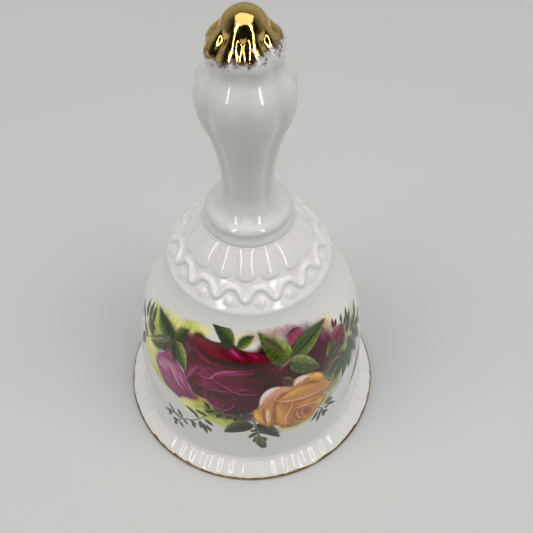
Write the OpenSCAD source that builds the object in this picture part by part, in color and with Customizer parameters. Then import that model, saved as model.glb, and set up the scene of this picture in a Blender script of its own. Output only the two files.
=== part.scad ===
// Glazed bone china hand bell: fluted rim, scalloped crown, lobed handle, wire-hung clapper.
// Origin: centre of the rim plane. +Z runs up the bell's axis, -Y is the front.

/* [Bell] */
// Outside diameter of the rim
rim_d = 76; // [70:1:84]
// Height of the flat crown seat that the handle stands on
seat_h = 74; // [70:1:80]
// Thickness of the cast wall
wall_t = 2.7; // [2.2:0.1:3.2]
// Diameter of the hole through the crown
crown_hole_d = 8.4; // [7:0.2:9]
// Number of arches in the ribbon, and of petals in the rosette above it
crown_arches = 16; // [12:2:18]

/* [Handle] */
// Height of the handle, from the crown seat to the top of the finial
handle_h = 60; // [55:1:65]
// Number of lobes round the handle
handle_lobes = 8; // [6:1:10]
// Depth of the grooves between lobes, as a share of the radius
lobe_depth = 0.08; // [0.04:0.01:0.1]
// Thickness of the handle's cast wall
handle_wall = 2.3; // [1.8:0.1:2.6]

/* [Decoration] */
// Thickness of the fired gold
gold_t = 0.1; // [0.06:0.01:0.14]
// Thickness of the fired enamel transfers
enamel_t = 0.08; // [0.06:0.01:0.12]
// Half of the angle that the front transfer covers
front_half = 90; // [70:1:95]
// Half of the angle that the back transfer covers
back_half = 62; // [40:1:80]

/* [Clapper] */
// Diameter of the brass wire
wire_d = 1; // [0.8:0.1:1]
// Diameter of the china bead
bead_d = 14.4; // [12:0.2:15]
// Height of the bead's middle above the rim plane, hanging at rest
bead_z = 16; // [15:0.5:20]

/* [Hidden] */
$fn = 96;
// The outlines below are drawn for a 76 mm rim and a 74 mm seat, and follow these two ratios
wide = rim_d / 76;
tall = seat_h / 74;
china = "#f3f2ee";
gold = "#c79a2e";
enamel = "#8c2346";
brass = "#b9984a";

// Rim: a rounded lip, then a concave flare up to the ring line where the wall begins
lip_r = 0.8;
lip_x = rim_d / 2 - lip_r;
lip_end = 130;
ring_z = 5.2;
FLARE = [[2.2, 37.0], [3.2, 35.8], [4.3, 34.5]];
// Outside of the wall and crown, from the ring line to the seat: height, radius
WALL = [[5.2, 33.6], [8, 33.3], [14, 33], [22, 32.8], [30, 32.1], [38, 30.8], [45, 28.7], [51, 25.6],
        [56, 23.2], [59, 22.2], [60.5, 21.7], [62, 20.7], [64, 19.1], [67, 16.7], [70, 14.5], [72, 13],
        [74, 11.6]];
// Inside of the crown, from the top of the wall's inside to the hole: height, radius
INNER_CROWN = [[56, 20.2], [60, 17.6], [63.5, 13.8], [66, 9.4], [67.4, 4.2]];
inner_wall_top = 54;
foot_inset = 2.6;

// Handle radius over the lobes: height above the seat, radius
HANDLE = [[0, 11.4], [0.8, 11.45], [1.8, 10.9], [2.8, 10.7], [3.8, 10.8], [4.7, 10.2], [5.6, 8.9],
          [7, 7.7], [9, 6.9], [11, 6.5], [14, 6.5], [19, 6.9], [24, 7.8], [29, 9.1], [32, 10.2],
          [34.6, 11.1], [37, 11.5], [39, 11.65], [41.3, 11.45], [43.4, 10.75], [45.2, 9.6], [46.5, 8.75],
          [47.6, 8.45], [48.6, 8.5], [49.8, 8.75], [51, 8.7], [53, 7.75], [54.5, 6.4], [56, 5.2],
          [57.3, 4.2], [58.5, 2.8], [60, 0.6]];
// Share of the full groove depth: height above the seat, share
GROOVE = [[0, 0], [5, 0], [7, 0.9], [11, 1], [38, 1], [44, 0.8], [47.6, 0.7], [50, 1.2], [53, 1.5],
          [55, 2.4], [57.5, 2.4], [60, 2]];
// The round top of the finial, standing out of the lobes
knop_r = 5.3;
knop_h = 54.4;
handle_drawn = 60;
handle_step = 1.1;
lobe_sides = 6;
cavity_top = 38;
gold_from = 48.2;

// Clapper gear: the eye lies in the YZ plane, the link in the XZ plane, the clapper's loop in the YZ plane
wire_r = wire_d / 2;
hang_gap = 0.15;
eye_r = 2.8;
link_r = 3.4;
loop_r = 2.4;
plug_bottom = 67.2 * tall;
plug_top = seat_h + 2.4;
plug_flange_r = 6;
eye_drop = 6.2;
eye_z = plug_bottom - eye_drop;
link_top = eye_z + wire_d + hang_gap;
link_bottom = link_top - 2 * link_r;
loop_top = link_bottom + wire_d + hang_gap;
loop_bottom = loop_top - 2 * loop_r;
bead_r = bead_d / 2;
bead_hole_r = wire_r + 0.15;
bead_land = 0.94;
head_r = 1.7;
head_t = 1;

// Slope of an outline at knot i, and the outline's smooth value at height z
function slope(k, i) =
    let (a = max(i - 1, 0), b = min(i + 1, len(k) - 1))
    (k[b][1] - k[a][1]) / (k[b][0] - k[a][0]);
function span(k, z, i = 0) = i >= len(k) - 2 || z < k[i + 1][0] ? i : span(k, z, i + 1);
function smooth(k, z) =
    let (i = span(k, z), w = k[i + 1][0] - k[i][0], t = (z - k[i][0]) / w)
    (2 * t ^ 3 - 3 * t ^ 2 + 1) * k[i][1] + (t ^ 3 - 2 * t ^ 2 + t) * w * slope(k, i)
    + (3 * t ^ 2 - 2 * t ^ 3) * k[i + 1][1] + (t ^ 3 - t ^ 2) * w * slope(k, i + 1);

// Points of the profile as [radius, height]
function wall_out(z, grow = 0) = [smooth(WALL, z) * wide + grow, z * tall];
function wall_in(z) = [smooth(WALL, z) * wide - wall_t, z * tall];
function lip(a, grow = 0) = [lip_x + (lip_r + grow) * sin(a), lip_r - (lip_r + grow) * cos(a)];
function steps(from, to, n) = [for (i = [0:n]) from + (to - from) * i / n];

module profile_outside() {
    polygon(concat(
        [for (a = steps(0, lip_end, 8)) lip(a)],
        [for (p = FLARE) [p[1] * wide, p[0]]],
        [for (z = steps(ring_z, 74, 68)) wall_out(z)],
        [[0, seat_h], [0, 0]]));
}

module profile_inside() {
    polygon(concat(
        [[0, -1], [(37.2 - foot_inset + 1) * wide, -1], [(37.2 - foot_inset) * wide, 0],
         [(FLARE[0][1] - wall_t) * wide, 1.5], [(FLARE[2][1] - wall_t - 0.4) * wide, 4]],
        [for (z = steps(7, inner_wall_top, 40)) wall_in(z)],
        [for (p = INNER_CROWN) [p[1] * wide, p[0] * tall]],
        [[0, INNER_CROWN[4][0] * tall]]));
}

// A half-round arch of ribbon lying on the crown's slope
module arch() {
    arch_z = 64;
    arch_r = 2.9;
    ribbon_r = 0.75;
    at = wall_out(arch_z);
    tilt = atan2(wall_out(67)[1] - at[1], at[0] - wall_out(67)[0]);
    translate([at[0], 0, at[1]]) rotate([0, 90 - tilt, 0]) rotate([0, 0, 90])
        rotate_extrude(angle = 180) translate([arch_r, 0]) circle(ribbon_r, $fn = 24);
}

module petal() {
    low = wall_out(66.9);
    high = wall_out(73.4);
    petal_r = 2.6;
    sunk = 2;
    tilt = atan2(low[0] - high[0], high[1] - low[1]);
    translate([low[0] - sunk * cos(tilt), 0, low[1] - sunk * sin(tilt)]) rotate([0, -tilt, 0])
        cylinder(h = norm(high - low), r = petal_r, $fn = 32);
}

module bell_shell() {
    color(china) difference() {
        union() {
            rotate_extrude() profile_outside();
            for (i = [0:crown_arches - 1]) rotate([0, 0, 360 * i / crown_arches]) {
                rotate([0, 0, 180 / crown_arches - 90]) arch();
                rotate([0, 0, -90]) petal();
            }
        }
        rotate_extrude() profile_inside();
        translate([0, 0, seat_h / 2]) cylinder(h = seat_h, d = crown_hole_d);
    }
}

// Handle surface: radius at height h above the seat and angle a from the front
function knop(h) = h < knop_h ? 0 : sqrt(max(0, knop_r ^ 2 - (h - knop_h) ^ 2));
function lobe(h, a) = wide * max(knop(h),
    smooth(HANDLE, h) * (1 - lobe_depth * smooth(GROOVE, h) * cos(handle_lobes * a / 2) ^ 4));
handle_n = handle_lobes * lobe_sides;
handle_k = handle_h / handle_drawn;
outer_h = steps(0, 59.4, round(59.4 / handle_step));
function handle_ring(h, grow = 0) = [for (i = [0:handle_n - 1])
    let (a = 360 * i / handle_n, r = lobe(h, a) + grow)
    [r * sin(a), -r * cos(a), seat_h + h * handle_k]];
function cavity_ring(h) = [for (i = [0:handle_n - 1])
    let (a = 360 * i / handle_n, r = smooth(HANDLE, h) * wide * (1 - lobe_depth) - handle_wall)
    [r * sin(a), -r * cos(a), seat_h + h * handle_k]];
function flat(lists) = [for (l = lists) for (p = l) p];
// Quads between successive rings of n points, and the fans that close the first and last ring
function ring_faces(rings, n) = [for (r = [0:rings - 2]) for (i = [0:n - 1])
    [r * n + i, r * n + (i + 1) % n, (r + 1) * n + (i + 1) % n, (r + 1) * n + i]];
function fan(ring, n, tip) = [for (i = [0:n - 1]) [ring * n + i, ring * n + (i + 1) % n, tip]];

module handle() {
    cavity_h = steps(cavity_top, 0, 20);
    rings = concat([for (h = cavity_h) cavity_ring(h)], [for (h = outer_h) handle_ring(h)]);
    n = handle_n;
    tip = len(rings) * n;
    points = concat(flat(rings), [[0, 0, seat_h + handle_h], [0, 0, seat_h + (cavity_top + 2) * handle_k]]);
    color(china) polyhedron(points, concat(
        [for (f = ring_faces(len(rings), n)) [f[3], f[2], f[1], f[0]]],
        [for (f = fan(len(rings) - 1, n, tip)) [f[2], f[1], f[0]]],
        fan(0, n, tip + 1)));
}

// The gold follows the finial's own facets, so that its inside lies on them
module finial_gilding() {
    gilt_h = [for (h = outer_h) if (h > gold_from) h];
    rings = concat([for (i = [len(gilt_h) - 1:-1:0]) handle_ring(gilt_h[i])],
                   [for (h = gilt_h) handle_ring(h, gold_t)]);
    n = handle_n;
    tip = len(rings) * n;
    color(gold) polyhedron(
        concat(flat(rings), [[0, 0, seat_h + handle_h], [0, 0, seat_h + handle_h + gold_t]]), concat(
        [for (f = ring_faces(len(rings), n)) [f[3], f[2], f[1], f[0]]],
        fan(0, n, tip),
        [for (f = fan(len(rings) - 1, n, tip + 1)) [f[2], f[1], f[0]]]));
}

module rim_gilding() {
    gilt = steps(60, lip_end, 5);
    color(gold) rotate_extrude() polygon(concat(
        [for (a = gilt) lip(a, gold_t)], [for (i = [len(gilt) - 1:-1:0]) lip(gilt[i])]));
}

module transfer(from, to, half) {
    heights = steps(from, to, 40);
    color(enamel) rotate([0, 0, -90 - half]) rotate_extrude(angle = 2 * half) polygon(concat(
        [for (z = heights) wall_out(z, enamel_t)],
        [for (i = [len(heights) - 1:-1:0]) wall_out(heights[i])]));
}

module rose_transfer_front() {
    transfer(8, 57, front_half);
}

module rose_transfer_back() {
    rotate([0, 0, 180]) transfer(14, 50, back_half);
}

module crown_plug() {
    color("#d9d4c6") {
        translate([0, 0, plug_bottom]) cylinder(h = seat_h - plug_bottom, d = crown_hole_d);
        translate([0, 0, seat_h]) cylinder(h = plug_top - seat_h, r = plug_flange_r);
    }
}

module wire_ring(r) {
    rotate([90, 0, 0]) rotate_extrude() translate([r, 0]) circle(wire_r, $fn = 24);
}

module crown_eye() {
    color(brass) {
        translate([0, 0, eye_z + eye_r]) rotate([0, 0, 90]) rotate([90, 0, 0]) rotate([0, 0, 180])
            rotate_extrude(angle = 180) translate([eye_r, 0]) circle(wire_r, $fn = 24);
        for (side = [-1, 1]) translate([0, side * eye_r, eye_z + eye_r])
            cylinder(h = plug_top - 1 - eye_z - eye_r, r = wire_r, $fn = 24);
    }
}

module hanger_link() {
    color(brass) translate([0, 0, link_bottom + link_r]) wire_ring(link_r);
}

module clapper_wire() {
    head_z = bead_z - bead_r * bead_land - head_t;
    color(brass) {
        translate([0, 0, loop_bottom + loop_r]) rotate([0, 0, 90]) wire_ring(loop_r);
        translate([0, 0, head_z + head_t]) cylinder(h = loop_bottom - head_z - head_t, r = wire_r, $fn = 24);
        translate([0, 0, head_z]) cylinder(h = head_t, r = head_r, $fn = 32);
    }
}

module clapper_bead() {
    land = bead_r * bead_land;
    color(china) translate([0, 0, bead_z]) difference() {
        intersection() {
            sphere(bead_r, $fn = 64);
            translate([0, 0, -land]) cylinder(h = 2 * land, r = bead_r + 1);
        }
        translate([0, 0, -bead_r]) cylinder(h = bead_d, r = bead_hole_r, $fn = 24);
    }
}

bell_shell();
handle();
rose_transfer_front();
rose_transfer_back();
rim_gilding();
finial_gilding();
crown_plug();
crown_eye();
hanger_link();
clapper_wire();
clapper_bead();
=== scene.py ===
"""Glazed bone china hand bell: scalloped crown, lobed handle, worn gold, rose transfers and a wire-hung
clapper, drawn round the CAD frame. Drawn sizes are in millimetres and degrees; the meshes are in metres."""
import math

import bpy
import numpy as np
from mathutils import Matrix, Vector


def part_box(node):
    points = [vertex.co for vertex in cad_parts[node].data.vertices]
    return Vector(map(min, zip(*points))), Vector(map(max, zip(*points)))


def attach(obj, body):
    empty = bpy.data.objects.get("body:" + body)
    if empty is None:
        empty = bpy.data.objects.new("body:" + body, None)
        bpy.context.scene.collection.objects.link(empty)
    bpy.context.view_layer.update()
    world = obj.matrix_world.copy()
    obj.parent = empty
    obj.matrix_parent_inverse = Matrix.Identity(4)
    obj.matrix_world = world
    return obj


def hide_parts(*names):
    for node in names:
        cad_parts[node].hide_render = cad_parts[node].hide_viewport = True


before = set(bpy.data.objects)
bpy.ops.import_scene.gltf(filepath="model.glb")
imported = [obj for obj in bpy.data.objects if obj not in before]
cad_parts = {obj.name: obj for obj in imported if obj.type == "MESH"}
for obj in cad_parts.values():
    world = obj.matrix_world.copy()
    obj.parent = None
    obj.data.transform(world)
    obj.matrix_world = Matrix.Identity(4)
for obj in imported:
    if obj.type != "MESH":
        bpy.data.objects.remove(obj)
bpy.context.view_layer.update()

MM = 0.001


def box_mm(node):
    """Lowest and highest corner of a CAD node, in millimetres."""
    low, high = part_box(node)
    return np.array(low) / MM, np.array(high) / MM


# Outlines are drawn for a 38 mm rim radius, a 74 mm seat and a 60 mm handle, and follow the frame
RIM_R = box_mm("rim_gilding")[1][0] - 0.1
SEAT_Z = box_mm("handle")[0][2]
TOP_Z = box_mm("handle")[1][2]
WIDE = RIM_R / 38
TALL = SEAT_Z / 74
HANDLE_K = (TOP_Z - SEAT_Z) / 60

# Height and radius of the outside, from the lip to the seat, and of the inside
LIP_R = 0.8
LIP_X = RIM_R - LIP_R
LIP_END = 130
OUTSIDE = [(1.31, 37.8), (2.2, 37.0), (3.2, 35.8), (4.3, 34.5), (5.2, 33.6), (8, 33.3), (14, 33),
           (22, 32.8), (30, 32.1), (38, 30.8), (45, 28.7), (51, 25.6), (56, 23.2), (59, 22.2),
           (60.5, 21.7), (62, 20.7), (64, 19.1), (67, 16.7), (70, 14.5), (72, 13), (74, 11.6)]
FLARE_END = 6.5
CROWN_FROM = 57
SEAT_R = 10.6
WALL_T = 2.7
HOLE_R = 4.25
HOLE_Z = 67.4
INSIDE_CROWN = [(54, 21.5), (56, 20.2), (60, 17.6), (63.5, 13.8), (66, 9.4), (HOLE_Z, HOLE_R)]
INSIDE_LIP = [(5.4, 30.75), (4, 31.4), (3, 32.2), (2, 33.5), (1.2, 34.2), (0.5, 34.5), (0.12, 34.9),
              (0, 35.3)]
# Height above the seat and radius over the handle's lobes, and the share of the full groove depth
HANDLE = [(0, 11.4), (0.8, 11.45), (1.8, 10.9), (2.8, 10.7), (3.8, 10.8), (4.7, 10.2), (5.6, 8.9),
          (7, 7.7), (9, 6.9), (11, 6.5), (14, 6.5), (19, 6.9), (24, 7.8), (29, 9.1), (32, 10.2),
          (34.6, 11.1), (37, 11.5), (39, 11.65), (41.3, 11.45), (43.4, 10.75), (45.2, 9.6), (46.5, 8.75),
          (47.6, 8.45), (48.6, 8.5), (49.8, 8.75), (51, 8.7), (53, 7.75), (54.5, 6.4), (56, 5.2),
          (57.3, 4.2), (58.5, 2.8), (60, 0.6)]
GROOVE = [(0, 0), (5, 0), (7, 0.9), (11, 1), (38, 1), (44, 0.8), (47.6, 0.7), (50, 1.2), (53, 1.5),
          (55, 2.4), (57.5, 2.4), (60, 2)]
LOBES = 8
LOBE_DEPTH = 0.08
KNOP_R = 5.3
KNOP_H = 54.4
KNOP_TOP = KNOP_H + KNOP_R
HOLLOW_TOP = 40
GOLD_FROM = 48.3
GOLD_UNDER = 0.12

# Relief on the crown and the flare: how many, where, and how far it stands out
SECTORS = 16
SECTOR = 360 / SECTORS
RIBBON_Z, RIBBON_RISE, RIBBON_PROUD, RIBBON_HALF = 63.4, 2.4, 0.72, 1.0
BOSS_Z, BOSS_R, BOSS_PROUD = 62.9, 1.8, 0.42
PETAL_LONG, PETAL_NOTCH, PETAL_GROOVE = 8.9, 2.6, 0.14
SHOULDER_Z, SHOULDER_PROUD = 60.9, 0.26
FLUTES, FLUTE_PROUD = 64, 0.15
RING_Z, RING_PROUD = 5.15, 0.16

SPRAY_TURN = 3.75


# ---------------------------------------------------------------- curves and meshes

def smooth(knots, at):
    """Value of a smooth outline at the given heights."""
    k = np.array(knots, float)
    at = np.asarray(at, float)
    low = np.maximum(np.arange(len(k)) - 1, 0)
    high = np.minimum(np.arange(len(k)) + 1, len(k) - 1)
    slope = (k[high, 1] - k[low, 1]) / (k[high, 0] - k[low, 0])
    i = np.clip(np.searchsorted(k[:, 0], at, side="right") - 1, 0, len(k) - 2)
    w = k[i + 1, 0] - k[i, 0]
    t = np.clip((at - k[i, 0]) / w, 0, 1)
    return ((2 * t**3 - 3 * t**2 + 1) * k[i, 1] + (t**3 - 2 * t**2 + t) * w * slope[i]
            + (3 * t**2 - 2 * t**3) * k[i + 1, 1] + (t**3 - t**2) * w * slope[i + 1])


def step(low, high, at):
    """Smooth step from 0 at low to 1 at high."""
    t = np.clip((at - low) / (high - low), 0, 1)
    return t * t * (3 - 2 * t)


def bulge(distance, half):
    """Bell curve of the distance, 1 in the middle."""
    return np.exp(-((distance / half) ** 2))


def lumps(points, size, seed, count=9):
    """Smooth seeded noise in space, about -1 to 1, with features of the given size."""
    rng = np.random.default_rng(seed)
    way = rng.normal(size=(count, 3))
    way *= (rng.uniform(0.55, 1.6, count) / np.linalg.norm(way, axis=1))[:, None]
    phase = rng.uniform(0, math.tau, count)
    return np.sin(points @ way.T * math.tau / size + phase).sum(-1) / math.sqrt(count)


def waves(x, y, size, seed, count=7):
    """Smooth seeded noise on a flat, about -1 to 1, with features of the given size."""
    rng = np.random.default_rng(seed)
    total = np.zeros(np.broadcast(x, y).shape)
    x, y = (x + 0.3 * size * np.sin(y * 2.3 / size + seed),
            y + 0.3 * size * np.sin(x * 1.9 / size + 2 * seed))
    for turn, pace, phase in zip(rng.uniform(0, math.tau, count), rng.uniform(0.55, 1.6, count),
                                 rng.uniform(0, math.tau, count)):
        total += np.sin((x * math.cos(turn) + y * math.sin(turn)) * math.tau * pace / size + phase)
    return total / math.sqrt(count)


def even_rows(path, pitch):
    """Points at an even pitch along a drawn path of (height, radius)."""
    path = np.array(path, float)
    run = np.concatenate([[0], np.cumsum(np.hypot(*np.diff(path, axis=0).T))])
    at = np.linspace(0, run[-1], max(2, int(round(run[-1] / pitch)) + 1))
    return np.column_stack([np.interp(at, run, path[:, 0]), np.interp(at, run, path[:, 1])])


def angles(count):
    """Angles from the front, in degrees, of an even ring of columns."""
    return np.arange(count) * 360 / count


def turned(radius, height, deg):
    """Points at the given radii and heights, at angles measured from the front, which is -Y."""
    rad = np.radians(deg)
    radius, height, rad = np.broadcast_arrays(radius, height, rad)
    return np.stack([radius * np.sin(rad), -radius * np.cos(rad), height], axis=-1)


def lathe(line, deg):
    """A line of (height, radius) carried round the angles: one row of points for each of its points."""
    return turned(line[:, 1:], line[:, :1], deg[None, :])


def raised(line, relief, deg):
    """The same for a grid of angles, pushed out by the relief along the normals of an upward line."""
    along = np.gradient(line, axis=0)
    along /= np.linalg.norm(along, axis=1)[:, None]
    return turned(line[:, 1:] + along[:, :1] * relief, line[:, :1] - along[:, 1:] * relief, deg)


def stand(name, data):
    """A new object in the scene."""
    made = bpy.data.objects.new(name, data)
    bpy.context.scene.collection.objects.link(made)
    return made


class Skin:
    """Collects grids of points and the faces between them, for one closed mesh."""

    def __init__(self):
        self.points = []
        self.faces = []
        self.total = 0

    def grid(self, points):
        rows, cols = points.shape[:2]
        self.points.append(points.reshape(-1, 3))
        index = np.arange(self.total, self.total + rows * cols).reshape(rows, cols)
        self.total += rows * cols
        return index

    def add(self, corners, flip=False):
        """Faces with the same number of corners, one in each row."""
        self.faces.extend((corners[:, ::-1] if flip else corners).tolist())

    def quads(self, index, flip=False):
        """Faces between rows of points that run all the way round."""
        across = np.roll(index, -1, axis=1)
        self.add(np.stack([index[:-1], across[:-1], across[1:], index[1:]], axis=-1).reshape(-1, 4), flip)

    def join(self, fine, coarse, flip=False):
        """Flat strip between a ring and one that has a whole share of its points."""
        share = len(fine) // len(coarse)
        first = np.arange(len(coarse)) * share
        arc = [fine[(first + j) % len(fine)] for j in range(share + 1)]
        self.add(np.stack(arc + [np.roll(coarse, -1), coarse], axis=-1), flip)

    def fan(self, ring, tip, flip=False):
        """Closes a ring with triangles to a point."""
        index = self.grid(np.array([[tip]], float))[0, 0]
        self.add(np.stack([ring, np.roll(ring, -1), np.full(len(ring), index)], axis=-1), flip)

    def build(self, name, material, crease=50, paint=None):
        """Makes the object. paint is a colour for each point."""
        co = np.concatenate(self.points)
        used = np.unique(np.concatenate([np.ravel(f) for f in self.faces]))
        number = np.full(len(co), -1)
        number[used] = np.arange(len(used))
        faces = [number[face].tolist() for face in self.faces]
        co = co[used]
        mesh = bpy.data.meshes.new(name)
        mesh.from_pydata((co * MM).tolist(), [], faces)
        if volume_of(co, faces) < 0:
            mesh.flip_normals()
        if paint is not None:
            layer = mesh.color_attributes.new("paint", "FLOAT_COLOR", "POINT")
            layer.data.foreach_set("color", paint[used].astype(np.float32).ravel())
        mesh.update()
        mesh.validate()
        mesh.shade_smooth()
        mesh.set_sharp_from_angle(angle=math.radians(crease))
        mesh.materials.append(material)
        return stand(name, mesh)


def volume_of(co, faces):
    """Signed volume, by a fan of triangles over each face."""
    tris = np.array([(f[0], f[i], f[i + 1]) for f in faces for i in range(1, len(f) - 1)])
    a, b, c = co[tris[:, 0]], co[tris[:, 1]], co[tris[:, 2]]
    return float(np.einsum("ij,ij->i", a, np.cross(b, c)).sum() / 6)


# ---------------------------------------------------------------- the bell's surface

def outside_profile():
    """(height, radius) up the outside, from the lip's lowest point to the seat."""
    lip = [(LIP_R - LIP_R * math.cos(math.radians(a)), LIP_X + LIP_R * math.sin(math.radians(a)))
           for a in np.linspace(0, LIP_END, 12)]
    drawn = np.concatenate([np.linspace(1.45, FLARE_END, 60), np.linspace(FLARE_END + 0.1, CROWN_FROM, 120),
                            np.linspace(CROWN_FROM + 0.1, 74, 180)])
    line = np.column_stack([drawn * TALL, smooth(OUTSIDE, drawn) * WIDE])
    flare, crown = line[:, 0] <= FLARE_END, line[:, 0] >= CROWN_FROM
    return np.concatenate([lip, even_rows(line[flare], 0.3), even_rows(line[~flare & ~crown], 1.2),
                           even_rows(line[crown], 0.22)])


def ribbon_line():
    """One arch of the ribbon, as points: broad crest, narrow round foot."""
    deg = np.linspace(-1.5, 1.5, 181) * SECTOR / 2
    z = RIBBON_Z + RIBBON_RISE * (1 - (0.5 - 0.5 * np.cos(np.radians(deg) * SECTORS)) ** 2)
    return turned(smooth(OUTSIDE, z), z, deg)


def crown_relief(profile, deg):
    """Height of the relief over the crown, for one sector's columns: deg runs from foot to foot."""
    height = profile[:, :1] / TALL
    run = np.concatenate([[0], np.cumsum(np.hypot(*np.diff(profile, axis=0).T))])[:, None]
    spot = turned(profile[:, 1:] / WIDE, height, (deg % SECTOR - SECTOR / 2)[None, :])
    gap = np.sqrt(((spot[:, :, None, :] - ribbon_line()[None, None]) ** 2).sum(-1)).min(-1)
    ribbon = RIBBON_PROUD * np.clip(1 - (gap / RIBBON_HALF) ** 2, 0, 1) ** 1.1
    off = np.sqrt(((spot - turned(smooth(OUTSIDE, BOSS_Z), BOSS_Z, 0)) ** 2).sum(-1))
    boss = BOSS_PROUD * np.clip(1 - (off / BOSS_R) ** 2, 0, 1) ** 1.5

    from_seat = run[-1] - run
    across = np.abs((deg + SECTOR / 2) % SECTOR - SECTOR / 2)[None, :] / (SECTOR / 2)
    reach = PETAL_LONG - PETAL_NOTCH * (1 - np.sqrt(np.clip(1 - across**2, 0, 1)))
    pillow = 0.16 + 0.56 * np.sin(np.pi * np.clip(0.08 + 0.72 * from_seat / reach, 0, 1))
    petal = pillow * step(0, 1.1, reach - from_seat) * (1 - across**2)
    petal = petal - PETAL_GROOVE * bulge(from_seat - reach - 0.4, 0.6)

    total = np.maximum(np.maximum(ribbon, boss), petal) + SHOULDER_PROUD * bulge(height - SHOULDER_Z, 0.8)
    return total * step(57.5, 59.5, height)


def flute_relief(height, deg):
    """Shallow flutes round the flare, and the raised ring line above them."""
    band = step(1.5, 2.4, height) * (1 - step(4.3, 4.9, height))
    flute = np.cos(np.radians(deg) * FLUTES) * band * (1 + 0.3 * waves(deg * 0.66, height, 9, 5))
    return FLUTE_PROUD * flute + RING_PROUD * bulge(height - RING_Z, 0.3)


def china_wobble(height, deg):
    """Slight unevenness of the cast and glazed wall."""
    return 0.035 * lumps(turned(RIM_R, height, deg), 26, 11)


def shell_surface(columns):
    """Outside points of the bell, rows by columns."""
    profile = outside_profile()
    height, deg = profile[:, :1], angles(columns)
    relief = np.tile(crown_relief(profile, deg[:columns // SECTORS]), (1, SECTORS))
    relief = relief + flute_relief(height, deg[None, :])
    relief = relief + china_wobble(height, deg[None, :]) * step(1, 3, height)
    return raised(profile, relief, deg[None, :])


def china_body(material):
    skin = Skin()
    fine, coarse = 512, 128
    outer = skin.grid(shell_surface(fine))
    skin.quads(outer)
    seat = skin.grid(turned(SEAT_R * WIDE, SEAT_Z, angles(fine)[None, :]))
    skin.quads(np.concatenate([outer[-1:], seat]))
    wall_z = np.linspace(53, 7, 34)
    line = [(SEAT_Z, HOLE_R), (HOLE_Z * TALL, HOLE_R)]
    line += [(z * TALL, r * WIDE) for z, r in even_rows(INSIDE_CROWN, 0.9)[::-1]]
    line += list(zip(wall_z * TALL, smooth(OUTSIDE, wall_z) * WIDE - WALL_T))
    inner = skin.grid(lathe(np.array(line + INSIDE_LIP), angles(coarse)))
    skin.quads(inner)
    skin.join(seat[0], inner[0])
    skin.join(outer[0], inner[-1], flip=True)
    return skin.build("china_body", material)


def lobe_radius(height, deg):
    """Handle radius over the lobes and the soft grooves between them, at heights above the seat."""
    groove = LOBE_DEPTH * smooth(GROOVE, height) * np.cos(np.radians(deg) * LOBES / 2) ** 4
    knop = np.sqrt(np.clip(KNOP_R**2 - (height - KNOP_H) ** 2, 0, None)) * (height > KNOP_H)
    lobed = smooth(HANDLE, height) * (1 - groove) * (1 - step(58.4, 59.6, height))
    return WIDE * (np.maximum(lobed, knop) + 0.06 * bulge(lobed - knop, 0.16))


def handle_surface(heights, deg, grow=0.0):
    height = np.asarray(heights, float)[:, None]
    radius = lobe_radius(height, deg[None, :]) + grow
    radius = radius + 0.03 * lumps(turned(9, height, deg[None, :]), 14, 23) * step(3, 9, height)
    return turned(radius, SEAT_Z + height * HANDLE_K, deg[None, :])


def handle_rows(start, pitch):
    """Heights above the seat at an even pitch along the handle's outline."""
    drawn = np.linspace(start, KNOP_TOP - 0.03, 500)
    return even_rows(np.column_stack([drawn, lobe_radius(drawn, 22.5)]), pitch)[:, 0]


def china_handle(material):
    skin = Skin()
    outer = skin.grid(handle_surface(handle_rows(0, 0.42), angles(320)))
    skin.quads(outer)
    skin.fan(outer[-1], (0, 0, SEAT_Z + KNOP_TOP * HANDLE_K))
    hollow = np.linspace(0, HOLLOW_TOP - 2, 24)
    radius = np.maximum(smooth(HANDLE, hollow) * 0.92 - 2.3, 2)
    inner = skin.grid(lathe(np.column_stack([SEAT_Z + hollow * HANDLE_K, radius]), angles(64)))
    skin.quads(inner, flip=True)
    skin.fan(inner[-1], (0, 0, SEAT_Z + HOLLOW_TOP * HANDLE_K), flip=True)
    skin.join(outer[0], inner[0], flip=True)
    return skin.build("china_handle", material)


def gold_finial(material):
    """Skin of gold over the finial, closed just under the glaze. Its lower edge runs into the glaze."""
    skin = Skin()
    rows = handle_rows(GOLD_FROM, 0.3)
    deg = angles(256)
    up = (rows - rows[0])[:, None]
    top = SEAT_Z + KNOP_TOP * HANDLE_K
    outer = skin.grid(handle_surface(rows, deg, 0.035 * step(0, 1.5, up) - 0.02 * (1 - step(0, 1.0, up))))
    skin.quads(outer)
    skin.fan(outer[-1], (0, 0, top + 0.04))
    inner = skin.grid(handle_surface(rows[::4], deg, -GOLD_UNDER))
    skin.quads(inner, flip=True)
    skin.fan(inner[-1], (0, 0, top - GOLD_UNDER), flip=True)
    skin.quads(np.stack([inner[0], outer[0]]))
    return skin.build("gold_finial", material, crease=80)


def lip_line(turn, radius):
    """(height, radius) round the lip's edge, at turns measured from straight down."""
    turn = np.radians(turn)
    return np.column_stack([LIP_R - radius * np.cos(turn), LIP_X + radius * np.sin(turn)])


def gold_rim(material):
    """Band of worn gold on the outer edge of the lip, ragged along its upper edge."""
    skin = Skin()
    deg = angles(512)
    turn = np.linspace(52, 162, 9)
    grow = np.array([-0.03, 0.03, 0.05, 0.05, 0.05, 0.05, 0.05, 0.03, -0.03])
    line = lip_line(turn, LIP_R + grow)
    ragged = np.where(turn > 120, 1, 0)[:, None] * lumps(turned(RIM_R, 0, deg), 5, 31) * 0.12
    outer = skin.grid(turned(line[:, 1:] - 0.9 * ragged, line[:, :1] + ragged, deg[None, :]))
    skin.quads(outer)
    inner = skin.grid(lathe(lip_line(np.linspace(52, 154, 5), LIP_R - 0.15), deg))
    skin.quads(inner, flip=True)
    skin.quads(np.stack([inner[0], outer[0]]))
    skin.quads(np.stack([outer[-1], inner[-1]]))
    return skin.build("gold_rim", material, crease=80)


# ---------------------------------------------------------------- clapper gear

LOOP_R = 2.4
WRAP_TURNS = 3.2
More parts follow.
